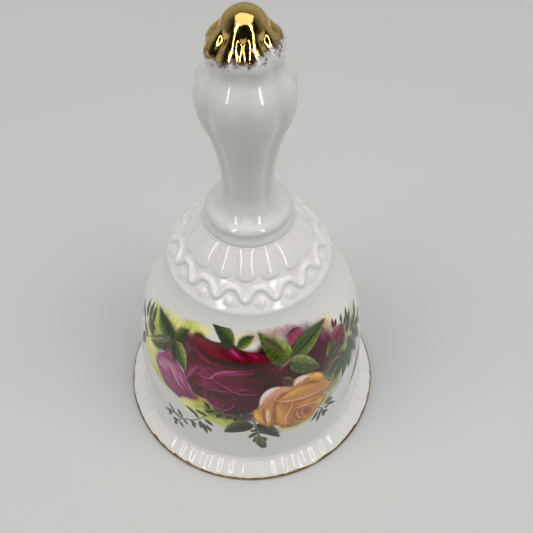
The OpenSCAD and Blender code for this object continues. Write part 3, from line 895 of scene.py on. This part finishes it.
def upper_leaves(c):
    """Leaves above the roses, and a red petal behind them."""
    c.leaf((-10.6, 51.4), (-26, 56.8), 2.5, (34, 50, 16), (92, 112, 36), -0.8, -1, 5, 0.62, 201)
    c.leaf((-8.4, 51.2), (1.6, 54.4), 1.5, (58, 76, 24), (112, 130, 44), 0.2, -1, 4, 0.8, 202)
    c.leaf((-46, 47), (-66.4, 49.6), 2.0, (38, 54, 28), (86, 104, 50), 0.6, 1, 5, 0.7, 203)
    c.leaf((-45.6, 46.4), (-39.6, 51.6), 1.9, (42, 56, 26), (84, 100, 44), 0.2, 1, 4, 0.75, 204)
    c.leaf((-47.6, 46), (-63, 39), 2.1, (58, 68, 44), (122, 132, 88), 0.5, -1, 5, 0.68, 205)
    c.leaf((-45.4, 46.6), (-35.6, 39.6), 2.6, (62, 78, 36), (136, 150, 78), 0.5, 1, 5, 0.62, 206)
    c.leaf((-45.4, 46), (-42.6, 40.6), 1.0, (40, 50, 28), (70, 82, 42), 0.1, 1, 3, 0.8, 207)
    c.stroke(0.7, 0.9, (84, 70, 56), [(-70, 36.4), (-63, 40.6), (-56, 44.2), (-48, 46.2), (-41, 46.4)],
             0.5)
    c.shape([(21.6, 50.6), (22, 53), (26, 53.7), (30.6, 53.3), (33, 51.8), (28, 50.4), (24, 49.8)],
            [(146, 72, 96), (116, 36, 58)], toward=120, soft=0.6, seed=208)
    c.lift()
    c.stroke(0.6, 0.95, (44, 20, 20), [(20.6, 52.6), (24, 53.4), (28, 53.8), (31.6, 53.2)], 0.4)
    c.leaf((21.6, 46.6), (4, 55.4), 3.4, (66, 78, 30), (136, 152, 66), 0.5, -1, 5, 0.55, 209, 0.15)
    c.stroke(2.6, 0.8, (58, 46, 24), [(8, 53.4), (13, 51.6), (18, 48.8)], 0.7)
    c.stroke(0.4, 0.7, (104, 112, 50), [(6, 53.6), (12, 51), (18, 48.4), (21, 46.8)], 0.5)
    c.leaf((21.8, 46.9), (49, 51.2), 2.6, (66, 82, 38), (104, 120, 56), 0.5, -1, 6, 0.66, 212)
    c.strokes(0.6, [
        (0.5, 0.8, (34, 36, 22), [(24, 47.6), (31, 48.6), (38, 49.8), (45, 50.9)]),
        (0.9, 0.7, (104, 42, 52), [(44.6, 51), (47, 51.2), (49.6, 51.2)])])
    c.leaf((20.6, 45.9), (37, 39.8), 2.8, (70, 86, 50), (124, 138, 80), 0.3, 1, 5, 0.62, 213)
    c.stroke(0.6, 0.9, (148, 92, 96), [(13.4, 44.6), (17, 45.5), (21, 46.5), (24.4, 47.3)], 0.5)
    c.leaf((15, 41.6), (22, 37.8), 1.5, (88, 48, 56), (104, 92, 62), 0.2, 1, 2, 0.7, 214)


def red_bud(c):
    """The closed red bud at the right, with its small leaves."""
    c.shape([(44.6, 44), (48, 46.2), (52, 46.8), (56, 46.6), (59.6, 45.6), (59.4, 43.8), (57.6, 41.6),
             (55, 40.2), (51, 40.6), (47, 42)],
            [(78, 24, 40), (106, 42, 60), (128, 62, 84)], toward=80, soft=0.35, streak=0.14, grain=30,
            shade=0.3, seed=221)
    c.strokes(0.8, [
        (0.6, 0.7, (70, 16, 34), [(48, 43.4), (52, 45), (57, 45.4)]),
        (0.6, 0.6, (166, 100, 124), [(49, 44.8), (53, 46), (57.4, 45.9)]),
        (0.6, 0.7, (66, 14, 32), [(51, 41.6), (54.4, 43), (58, 43)])])
    c.lift()
    c.leaf((43, 40.4), (51, 44.2), 1.3, (78, 82, 50), (122, 126, 80), 0.3, 1, 3, 0.8, 222)
    c.leaf((42, 41), (46.6, 45.6), 1.1, (86, 88, 54), (128, 130, 84), -0.2, 1, 3, 0.8, 223)
    c.leaf((45, 39.6), (54, 41.2), 1.0, (70, 78, 50), (106, 114, 74), 0.2, 1, 3, 0.8, 224)
    c.stroke(1.0, 0.8, (150, 92, 96), [(44, 38.6), (48, 38), (51.6, 37.4)], 0.8)
    for base, tip, colour in (
            ((51.6, 46.8), (54, 49.6), (112, 50, 52)), ((53, 47), (56.8, 48.4), (104, 54, 50)),
            ((58.6, 46), (61.8, 48), (66, 82, 60)), ((60, 44.4), (64.6, 46.2), (74, 88, 62)),
            ((61, 43), (67, 43.4), (82, 96, 66))):
        c.leaf(base, tip, 0.6, np.array(colour) * 0.8, colour, 0.1, 1, 2, 0.9, 225, 0.1)


def right_foliage(c):
    """Grey-green leaves at the right, and a drooping leaf below them."""
    green = np.array((92, 108, 76))
    for base, tip, half, seed in (
            ((54, 38), (40.4, 34.4), 1.9, 231), ((56, 37), (44.6, 30.6), 1.8, 232),
            ((58, 37.4), (51, 27.6), 1.8, 233), ((60, 38.6), (57.4, 27.8), 1.6, 234),
            ((60, 42), (70, 45.6), 1.2, 235), ((64, 40.4), (75, 42), 1.4, 236),
            ((60, 39.6), (67, 30), 1.9, 239), ((66, 40), (74.6, 31), 1.8, 240),
            ((70, 40), (80, 35), 1.3, 241), ((72, 40.6), (79, 44.6), 1.0, 242),
            ((76, 38.6), (84, 38), 1.0, 243), ((64, 44.6), (68, 47.6), 0.7, 244)):
        c.leaf(base, tip, half, green * 0.7, green * 1.12, 0.25, 1, 4, 0.72, seed, 0.2)
    c.leaf((74, 26.6), (60, 17), 2.4, (74, 62, 64), (122, 106, 110), 0.4, 1, 4, 0.7, 245)
    c.strokes(0.4, [
        (0.5, 0.85, (84, 70, 70), [(60.4, 17.4), (59, 15.4), (58, 13.4)]),
        (0.5, 0.85, (92, 88, 72), [(73.6, 26.6), (74.6, 30)])])


def left_foliage(c):
    """Small grey-green leaves at the left."""
    green = np.array((90, 104, 66))
    for base, tip, half, seed in (
            ((-66, 44.4), (-69, 48.8), 1.0, 251), ((-70, 43), (-73, 48.6), 1.0, 252),
            ((-74, 42), (-77.6, 47.4), 1.0, 253), ((-62, 43.4), (-71, 44), 1.0, 254),
            ((-62, 41.6), (-70.6, 42.4), 1.1, 255), ((-75, 40), (-81, 43), 0.9, 256),
            ((-80, 39), (-84, 44), 0.9, 257), ((-68, 37.6), (-76, 40.6), 1.0, 258)):
        c.leaf(base, tip, half, green * 0.62, green * 1.08, 0.2, 1, 3, 0.78, seed, 0.2)
    c.leaf((-71, 37), (-78, 29), 1.6, (58, 64, 52), (94, 106, 78), 0.4, 1, 4, 0.75, 259)


def lower_spray(c):
    """Leaves and sprigs that hang below the flowers."""
    green = (80, 96, 58)
    c.sprig([(-4, 28), (-12, 28.2), (-19, 28.4), (-25, 29.4)],
            [((-6, 28.2), (-11, 29.9)), ((-10, 28), (-13, 26)), ((-13, 28.4), (-18, 30)),
             ((-15, 28), (-18, 25.6)), ((-19, 28.4), (-24, 27)), ((-21, 28.8), (-24.6, 31.4)),
             ((-8, 27.8), (-9, 25.8))], (76, 86, 48), 0.5, 0.7)
    c.leaf((-0.6, 24.8), (-14.6, 19), 2.6, (60, 44, 40), (78, 92, 48), -0.5, -1, 5, 0.6, 265)
    c.leaf((2, 24.6), (13, 15.6), 2.2, (56, 48, 46), (84, 94, 58), 0.3, 1, 4, 0.62, 266)
    c.stroke(0.9, 0.95, (84, 94, 56), [(0.4, 26), (1.4, 22), (2.4, 18.4)], 0.5, (0.8, 0.7))
    for base, tip, half in (
            ((1.6, 20.4), (-3, 17), 0.8), ((1.8, 21.4), (-2, 21), 0.7), ((2.4, 20.4), (6.4, 19), 0.7),
            ((2, 18.4), (-0.4, 14.4), 0.8), ((3.4, 17.4), (6.4, 14.8), 0.8)):
        c.leaf(base, tip, half, (56, 68, 38), (100, 114, 64), 0.15, 1, 2, 0.8, int(tip[0] * 3 + 60), 0.2)
    c.shape([(1.2, 18), (0.6, 15), (2, 12.6), (4, 11.2), (6, 11.6), (6.2, 14), (5, 16.6), (3, 18.4)],
            [(48, 60, 38), (78, 94, 52), (98, 112, 66)], toward=120, soft=0.15, streak=0.14, grain=80,
            shade=0.3, seed=269)
    c.lift()
    c.strokes(0.6, [
        (0.9, 0.85, (70, 34, 38), [(2.6, 12.6), (4.8, 11.2), (6.6, 12)]),
        (0.5, 0.7, (44, 54, 34), [(2.4, 17.6), (2.6, 15), (4, 12.6)])])
    c.sprig([(-23.6, 25), (-27.4, 22), (-31, 19.6), (-35, 18), (-38.4, 16.4), (-41, 13.6), (-43, 12)],
            [((-22.4, 25), (-29.4, 26.2)), ((-28.6, 23.4), (-34.8, 25.6)), ((-27.6, 22), (-30, 25)),
             ((-24.6, 23.4), (-19.4, 20.8)), ((-27, 21.4), (-26.8, 16.8)), ((-25.4, 20.8), (-23.4, 15.2)),
             ((-24, 20.4), (-21, 17)), ((-31, 19.4), (-30.6, 15)), ((-33.4, 18.6), (-29, 17.8)),
             ((-37, 17.2), (-34.6, 14.8)), ((-37.6, 17), (-40.2, 20.9)), ((-42.6, 16.8), (-47, 19.8)),
             ((-38, 16.6), (-44, 16.8)), ((-43, 16.8), (-50.6, 14.4)), ((-46, 16.4), (-47.6, 12.6)),
             ((-40.6, 14), (-44.8, 12.4)), ((-40.4, 13.8), (-38, 11.4)), ((-42, 12.6), (-44, 9.8))],
            green, 0.5, 0.72)
    c.sprig([(33.6, 23.4), (36, 21.4), (37.6, 19.4)],
            [((34, 22), (30, 17.4)), ((35.6, 20.6), (33.4, 15.4)), ((36.6, 20), (38.2, 15.8)),
             ((37.4, 19.6), (40.4, 17.4)), ((36.4, 21.4), (34.4, 19)), ((37.6, 21), (41, 20)),
             ((38, 22.4), (42.4, 24.2)), ((39, 22.4), (46, 18.8)), ((40.6, 22), (44, 22.8))],
            green, 0.5, 0.66)
    c.stroke(0.45, 0.9, green, [(36, 21.4), (39, 22.4), (42, 22.4)], 0.4)


def paint_spray(c):
    """The whole spray, back to front."""
    paint_washes(c)
    left_foliage(c)
    right_foliage(c)
    red_bud(c)
    crimson_rose(c)
    pink_bud(c)
    upper_leaves(c)
    lower_spray(c)
    yellow_rose(c)


def crosses(cell):
    """Each cell of a grid inside its rim, and the four beside it."""
    return cell[1:-1, 1:-1], cell[:-2, 1:-1], cell[2:, 1:-1], cell[1:-1, :-2], cell[1:-1, 2:]


def painted_cells(cover):
    """Cells of a grid whose paint shows, widened by one cell, and none that touch only at a corner."""
    cell = np.maximum.reduce([cover[:-1, :-1], cover[1:, :-1], cover[:-1, 1:], cover[1:, 1:]]) > PAINT_SHOWS
    cell = np.logical_or.reduce(crosses(np.pad(cell, 1)))
    while True:
        a, b, c, d = cell[:-1, :-1], cell[:-1, 1:], cell[1:, :-1], cell[1:, 1:]
        falling, rising = a & d & ~b & ~c, b & c & ~a & ~d
        if not (falling.any() or rising.any()):
            return cell
        cell[:-1, 1:] |= falling
        cell[:-1, :-1] |= rising


def rose_spray(name, material, turn, columns, rows, place):
    """Thin closed layer of enamel where there is paint. place maps the grid's points to the drawing's."""
    deg, height = np.meshgrid(columns, rows)
    canvas = Canvas(*place(deg.ravel(), height.ravel()))
    paint_spray(canvas)
    cell = painted_cells(canvas.cover.reshape(deg.shape))
    solid = np.pad(cell, 1)
    inner = solid[:-1, :-1] & solid[1:, :-1] & solid[:-1, 1:] & solid[1:, 1:]
    layer = inner.astype(float)
    for _ in range(2):
        inner = np.logical_and.reduce(crosses(np.pad(inner, 1)))
        layer += inner
    profile = np.column_stack([rows * TALL, smooth(OUTSIDE, rows) * WIDE])
    around = deg + turn
    wobble = china_wobble(profile[:, :1], around)
    skin = Skin()
    top = skin.grid(raised(profile, wobble - 0.008 + 0.01 * layer, around))
    under = skin.grid(raised(profile, wobble - 0.05, around))
    r, k = np.nonzero(cell)
    for index, flip in ((top, False), (under, True)):
        skin.add(np.stack([index[r, k], index[r, k + 1], index[r + 1, k + 1], index[r + 1, k]], -1), flip)
    for (dr, dk), (ar, ak), (br, bk) in (((-1, 0), (0, 0), (0, 1)), ((1, 0), (1, 1), (1, 0)),
                                         ((0, -1), (1, 0), (0, 0)), ((0, 1), (0, 1), (1, 1))):
        r, k = np.nonzero(cell & ~solid[1 + dr:solid.shape[0] - 1 + dr, 1 + dk:solid.shape[1] - 1 + dk])
        first, second = (r + ar, k + ak), (r + br, k + bk)
        skin.add(np.stack([top[second], top[first], under[first], under[second]], -1))
    rgb = np.clip((canvas.rgb / 255) ** 2.2 * PAINT_GAIN - PAINT_DEEPEN, 0.0008, 1)
    paint = np.column_stack([rgb, canvas.cover])
    return skin.build(name, material, 80, np.concatenate([paint, paint]))


def front_spray(material):
    """The whole spray, on a grid that is finer where the flowers are."""
    edge, flowers, coarse, fine = 88, 62, 0.62, 0.42
    columns = np.concatenate([np.arange(-edge, -flowers, coarse), np.arange(-flowers, flowers, fine),
                              np.arange(flowers, edge + 0.1, coarse)])
    rows = np.arange(8.4, 56.9, 0.25)
    return rose_spray("rose_spray_front", material, SPRAY_TURN, columns, rows, lambda deg, z: (deg, z))


def back_spray(material):
    """A smaller copy of the spray, the other way round."""
    middle, share, edge = 32, 0.7, 61.6
    columns, rows = np.arange(-edge, edge + 0.1, 0.4), np.arange(14.2, 49.9, 0.24)
    return rose_spray("rose_spray_back", material, 180, columns, rows,
                      lambda deg, z: (-deg / share, middle + (z - middle) / share))


# ---------------------------------------------------------------- materials

class Graph:
    """The node tree of a material or of the world, with one call per node."""

    def __init__(self, owner):
        owner.use_nodes = True
        self.owner = owner
        self.tree = owner.node_tree
        self.tree.nodes.clear()
        self.spot = self.node("ShaderNodeTexCoord").outputs

    def node(self, kind, inputs=None, **settings):
        made = self.tree.nodes.new(kind)
        for key, value in settings.items():
            setattr(made, key, value)
        for key, value in (inputs or {}).items():
            if isinstance(value, bpy.types.NodeSocket):
                self.tree.links.new(value, made.inputs[key])
            else:
                made.inputs[key].default_value = value
        return made

    def xyz(self):
        return self.node("ShaderNodeSeparateXYZ", {0: self.spot["Object"]}).outputs

    def noise(self, size, detail=2.0, rough=0.5):
        """Noise with features of the given size in millimetres."""
        inputs = {"Vector": self.spot["Object"], "Scale": 1 / (size * MM), "Detail": detail}
        return self.node("ShaderNodeTexNoise", dict(inputs, Roughness=rough)).outputs["Fac"]

    def ramp(self, value, low, high, out_low=0.0, out_high=1.0):
        inputs = {"Value": value, "From Min": low, "From Max": high, "To Min": out_low, "To Max": out_high}
        return self.node("ShaderNodeMapRange", inputs, interpolation_type="SMOOTHSTEP").outputs["Result"]

    def cloud(self, low, high, size, detail=2.0, rough=0.5):
        """Patches from 0 to 1, where the noise runs from low to high."""
        return self.ramp(self.noise(size, detail, rough), low, high)

    def math(self, operation, a, b):
        return self.node("ShaderNodeMath", {0: a, 1: b}, operation=operation).outputs[0]

    def times(self, a, b):
        return self.math("MULTIPLY", a, b)

    def mix(self, share, a, b, blend="MIX"):
        inputs = {"Factor": share, "A": a, "B": b}
        return self.node("ShaderNodeMix", inputs, data_type="RGBA", blend_type=blend).outputs["Result"]

    def mix_number(self, share, a, b):
        return self.node("ShaderNodeMix", {"Factor": share, "A": a, "B": b}, data_type="FLOAT").outputs[0]

    def surface(self, bumps, depth, **inputs):
        """Finishes a material, with bumps of the given depth in millimetres, and returns it."""
        named = {key.replace("_", " "): value for key, value in inputs.items()}
        bump = self.node("ShaderNodeBump", {"Height": bumps, "Strength": 1.0, "Distance": depth * MM})
        shader = self.node("ShaderNodeBsdfPrincipled", dict(named, Normal=bump.outputs[0]))
        self.node("ShaderNodeOutputMaterial", {"Surface": shader.outputs[0]})
        return self.owner


def new_material(name):
    return Graph(bpy.data.materials.new(name))


GLAZE_IOR = 1.52
CHINA_WARM = (0.885, 0.87, 0.835, 1)
CHINA_COOL = (0.865, 0.86, 0.835, 1)
# Painted shade: the handle's china is coloured darker and greyer than the bell's, for the shade that falls
# on it
CHINA_HANDLE_SHADED = (0.77, 0.765, 0.74, 1)
CHINA_SPECK = (0.11, 0.075, 0.05, 1)
CHINA_UNGLAZED = (0.62, 0.6, 0.55, 1)
GOLD_LIGHT, GOLD_DEEP, GOLD_TIDE = (0.83, 0.58, 0.2, 1), (0.72, 0.49, 0.15, 1), (0.16, 0.09, 0.045, 1)
STAIN_BROWN, STAIN_LILAC = (0.13, 0.09, 0.08, 1), (0.42, 0.38, 0.42, 1)
RIM_BROWN, RIM_GOLD, RIM_SPECK = (0.17, 0.105, 0.042, 1), (0.4, 0.26, 0.1, 1), (0.03, 0.022, 0.016, 1)
BRASS, BRASS_DULL = (0.72, 0.53, 0.25, 1), (0.36, 0.23, 0.1, 1)
CEMENT_DARK, CEMENT_PALE = (0.47, 0.44, 0.38, 1), (0.72, 0.69, 0.61, 1)


def china_colour(g):
    """Bone china under clear glaze: faint warm and cool clouds, iron specks, and painted shade that makes
    the handle darker and greyer.
    """
    body = g.mix(g.cloud(0.35, 0.65, 17, 3), CHINA_WARM, CHINA_COOL)
    cell = g.node("ShaderNodeTexVoronoi",
                  {"Vector": g.spot["Object"], "Scale": 1 / (9.5 * MM), "Randomness": 1.0})
    speck = g.ramp(cell.outputs["Distance"], 0.016, 0.026, 1.0, 0.0)
    # Painted shade: above the seat the china takes the darker, greyer handle colour
    handle_shade = g.ramp(g.xyz()[2], (SEAT_Z - 0.4) * MM, SEAT_Z * MM)
    body = g.mix(handle_shade, body, CHINA_HANDLE_SHADED)
    return g.mix(g.times(speck, g.cloud(0.56, 0.6, 21, 0)), body, CHINA_SPECK)


def glazed_china(name):
    """Glossy glaze, wiped off the edge that the bell stands on."""
    g = new_material(name)
    bare = g.ramp(g.xyz()[2], 0.03 * MM, 0.12 * MM, 1.0, 0.0)
    rough = g.mix_number(bare, g.mix_number(g.cloud(0.35, 0.7, 6, 4), 0.05, 0.09), 0.6)
    colour = g.mix(bare, china_colour(g), CHINA_UNGLAZED)
    return g.surface(g.noise(5.5, 1.5), 0.035, Base_Color=colour, Roughness=rough, IOR=GLAZE_IOR)


def enamel_paint():
    """Fired enamel: the colours painted on the mesh over the china, a little duller than the glaze."""
    g = new_material("rose_enamel")
    paint = g.node("ShaderNodeAttribute", attribute_name="paint", attribute_type="GEOMETRY").outputs
    grain = g.ramp(g.noise(0.35), 0.3, 0.7, 0.93, 1.06)
    level = g.node("ShaderNodeCombineColor", {0: grain, 1: grain, 2: grain}).outputs[0]
    tone = g.mix(1.0, paint["Color"], level, "MULTIPLY")
    colour = g.mix(paint["Alpha"], china_colour(g), tone)
    rough = g.mix_number(paint["Alpha"], 0.07, 0.13)
    return g.surface(g.noise(5.5, 1.5), 0.03, Base_Color=colour, Roughness=rough, IOR=GLAZE_IOR)


def bright_gold():
    """Burnished gold on the finial, worn to a brown and lilac stain and then to bare glaze at its edge."""
    g = new_material("finial_gold")
    x, _, z = g.xyz()
    ragged = g.math("ADD", g.times(g.noise(4.2, 4, 0.62), 7.5 * MM), z)
    edge = g.math("ADD", ragged, g.times(x, -0.12))
    full = g.ramp(edge, (SEAT_Z + 55.4) * MM, (SEAT_Z + 56.6) * MM)
    stain = g.ramp(edge, (SEAT_Z + 53.6) * MM, (SEAT_Z + 55.2) * MM)
    stain = g.times(stain, g.cloud(0.42, 0.6, 1.1, 4, 0.7))
    under = g.mix(stain, china_colour(g), g.mix(g.cloud(0.4, 0.6, 0.9), STAIN_BROWN, STAIN_LILAC))
    colour = g.mix(full, under, g.mix(g.cloud(0.35, 0.65, 3.0, 3), GOLD_LIGHT, GOLD_DEEP))
    tide = g.times(g.times(full, 3.4), g.math("SUBTRACT", 1.0, full))
    colour = g.mix(tide, colour, GOLD_TIDE)
    rough = g.mix_number(g.cloud(0.4, 0.75, 1.6, 5, 0.65), 0.07, 0.16)
    return g.surface(g.noise(2.4, 3), 0.13, Base_Color=colour, Metallic=full, Roughness=rough, IOR=GLAZE_IOR)


def rim_gold_worn():
    """Thin rim gold: rubbed brown, with dark specks along its upper edge and bare patches."""
    g = new_material("rim_gold_worn")
    patch = g.noise(3.6, 4, 0.6)
    upper = g.ramp(g.xyz()[2], 1.3 * MM, 1.58 * MM)
    gone = g.times(g.cloud(0.5, 0.62, 2.2, 4, 0.65), upper)
    specks = g.times(g.cloud(0.56, 0.62, 0.8, 3, 0.7), upper)
    tint = g.mix(specks, g.mix(g.ramp(patch, 0.35, 0.7), RIM_BROWN, RIM_GOLD), RIM_SPECK)
    metal = g.times(g.math("SUBTRACT", 1.0, gone), g.math("SUBTRACT", 0.6, specks))
    return g.surface(g.noise(0.7, 3), 0.03, Base_Color=g.mix(gone, tint, china_colour(g)), Metallic=metal,
                     Roughness=g.mix_number(patch, 0.28, 0.45), IOR=1.5)


def brass_wire():
    g = new_material("brass_wire_drawn")
    tarnish = g.cloud(0.35, 0.7, 2.6, 4, 0.6)
    return g.surface(g.noise(0.25, 3), 0.012, Base_Color=g.mix(tarnish, BRASS, BRASS_DULL), Metallic=1.0,
                     Roughness=g.mix_number(tarnish, 0.2, 0.42))


def set_cement():
    g = new_material("set_cement")
    tone = g.mix(g.noise(1.2, 5, 0.7), CEMENT_DARK, CEMENT_PALE)
    return g.surface(g.noise(0.5, 6, 0.7), 0.12, Base_Color=tone, Roughness=0.86)


# ---------------------------------------------------------------- studio

# Where the photo was taken from, and its focal length: 820 of the 533 pixels across
CAM_AT = (9.2, -140.6, 226.25)
CAM_DOWN, CAM_LEFT, CAM_ROLL = 50.908, 1.898, 0.149
CAM_FOCAL_SIDES = 820 / 533
SENSOR = 36

FLOOR_HALF = 2.5
FLOOR_DARK, FLOOR_PALE = (0.6, 0.606, 0.608, 1), (0.63, 0.636, 0.637, 1)
AIM_Z = 0.07

# The room's colours and strength, and how many degrees up its darkest place is
ROOM_PALE = (0.96, 0.98, 1.0, 1)
ROOM_DARK = (0.02, 0.02, 0.02, 1)
ROOM_SEEN = (0.62, 0.635, 0.645, 1)
ROOM_LEVEL = 0.42
ROOM_GAP_UP = 24


def turned_to(across, upright, away):
    """Matrix whose X, Y and Z are these three directions."""
    return Matrix([list(across), list(upright), list(away)]).transposed().to_4x4()


def add_camera():
    down, left, roll = (math.radians(v) for v in (CAM_DOWN, CAM_LEFT, CAM_ROLL))
    ahead = np.array([-math.sin(left) * math.cos(down), math.cos(left) * math.cos(down), -math.sin(down)])
    right = np.array([math.cos(left), math.sin(left), 0])
    up = np.cross(right, ahead)
    data = bpy.data.cameras.new("camera")
    data.sensor_width = SENSOR
    data.lens = SENSOR * CAM_FOCAL_SIDES
    data.clip_start, data.clip_end = 0.01, 20
    camera = stand("camera", data)
    camera.matrix_world = Matrix.Translation([v * MM for v in CAM_AT]) @ turned_to(
        math.cos(roll) * right + math.sin(roll) * up, math.cos(roll) * up - math.sin(roll) * right, -ahead)
    bpy.context.scene.camera = camera


def add_floor():
    g = new_material("studio_floor")
    cloud = g.mix(g.noise(90, 3), FLOOR_DARK, FLOOR_PALE)
    mesh = bpy.data.meshes.new("studio_floor")
    corners = [(x * FLOOR_HALF, y * FLOOR_HALF, 0) for x, y in ((-1, -1), (1, -1), (1, 1), (-1, 1))]
    mesh.from_pydata(corners, [], [(0, 1, 2, 3)])
    mesh.materials.append(g.surface(g.noise(1.4, 3), 0.02, Base_Color=cloud, Roughness=0.75))
    floor = stand("studio_floor", mesh)
    floor.location.z = -0.0001


def area_light(name, azimuth, elevation, distance, width, height, power, warmth, only=None):
    """Soft box aimed at the bell, azimuth measured from the front. It may serve only one kind of ray."""
    data = bpy.data.lights.new(name, "AREA")
    data.shape = "RECTANGLE"
    data.size, data.size_y = width, height
    data.energy = power
    data.color = warmth
    light = stand(name, data)
    light.visible_diffuse = only != "glossy"
    light.visible_glossy = only != "diffuse"
    az, el = math.radians(azimuth), math.radians(elevation)
    away = np.array([math.sin(az) * math.cos(el), -math.cos(az) * math.cos(el), math.sin(el)])
    right = np.cross([0, 0, 1.0], away)
    right /= np.linalg.norm(right)
    light.matrix_world = Matrix.Translation(away * distance + (0, 0, AIM_Z)) @ turned_to(
        right, np.cross(away, right), away)


def add_room():
    """Pale room that darkens towards a place low in front, and a plain pale backdrop for the camera."""
    world = bpy.data.worlds.new("studio")
    bpy.context.scene.world = world
    bpy.context.scene.view_settings.view_transform = "Standard"
    g = Graph(world)
    up = math.radians(ROOM_GAP_UP)
    toward = g.node("ShaderNodeVectorMath", {0: g.spot["Generated"], 1: (0.0, -math.cos(up), math.sin(up))},
                    operation="DOT_PRODUCT").outputs["Value"]
    room = g.mix(g.ramp(toward, -0.6, 0.6), ROOM_PALE, ROOM_DARK)
    lit = g.node("ShaderNodeBackground", {"Color": room, "Strength": ROOM_LEVEL}).outputs[0]
    plain = g.node("ShaderNodeBackground", {"Color": ROOM_SEEN}).outputs[0]
    seen = g.node("ShaderNodeLightPath").outputs["Is Camera Ray"]
    either = g.node("ShaderNodeMixShader", {0: seen, 1: lit, 2: plain}).outputs[0]
    g.node("ShaderNodeOutputWorld", {"Surface": either})


def add_lights():
    """Two tall windows that only the glaze shows, two soft keys that only light it, and an overhead box."""
    area_light("window_left", -36, 33, 1.5, 0.2, 1.1, 5.4, (1, 0.99, 0.97), "glossy")
    area_light("window_right", 38, 31, 1.5, 0.2, 1.1, 5.4, (1, 0.99, 0.98), "glossy")
    area_light("key_left", -66, 50, 1.5, 0.9, 0.9, 6.0, (1, 0.98, 0.95), "diffuse")
    area_light("key_right", 68, 50, 1.5, 0.9, 0.9, 7.4, (1, 0.985, 0.96), "diffuse")
    area_light("overhead", 0, 80, 1.3, 1.7, 1.4, 10.5, (1, 0.985, 0.96))


# ---------------------------------------------------------------- assembly

def put(piece, body, slot, *nodes):
    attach(piece, body)
    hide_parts(*nodes)


add_camera()
add_floor()
add_room()
add_lights()

china = glazed_china("china_glazed")
brass = brass_wire()
enamel = enamel_paint()
put(china_body(china), "bell", "china", "bell_shell")
put(china_handle(china), "bell", "china", "handle")
put(gold_finial(bright_gold()), "bell", "bright_gold", "finial_gilding")
put(gold_rim(rim_gold_worn()), "bell", "rim_gold", "rim_gilding")
put(front_spray(enamel), "bell", "enamel", "rose_transfer_front")
put(back_spray(enamel), "bell", "enamel", "rose_transfer_back")
put(cement_plug(set_cement()), "bell", "cement", "crown_plug")
put(wire_eye(brass), "bell", "brass_wire", "crown_eye")
put(wire_link(brass), "link", "brass_wire", "hanger_link")
put(clapper_wire(brass), "clapper", "brass_wire", "clapper_wire")
put(clapper_bead(glazed_china("bead_china")), "clapper", "bead_china", "clapper_bead")
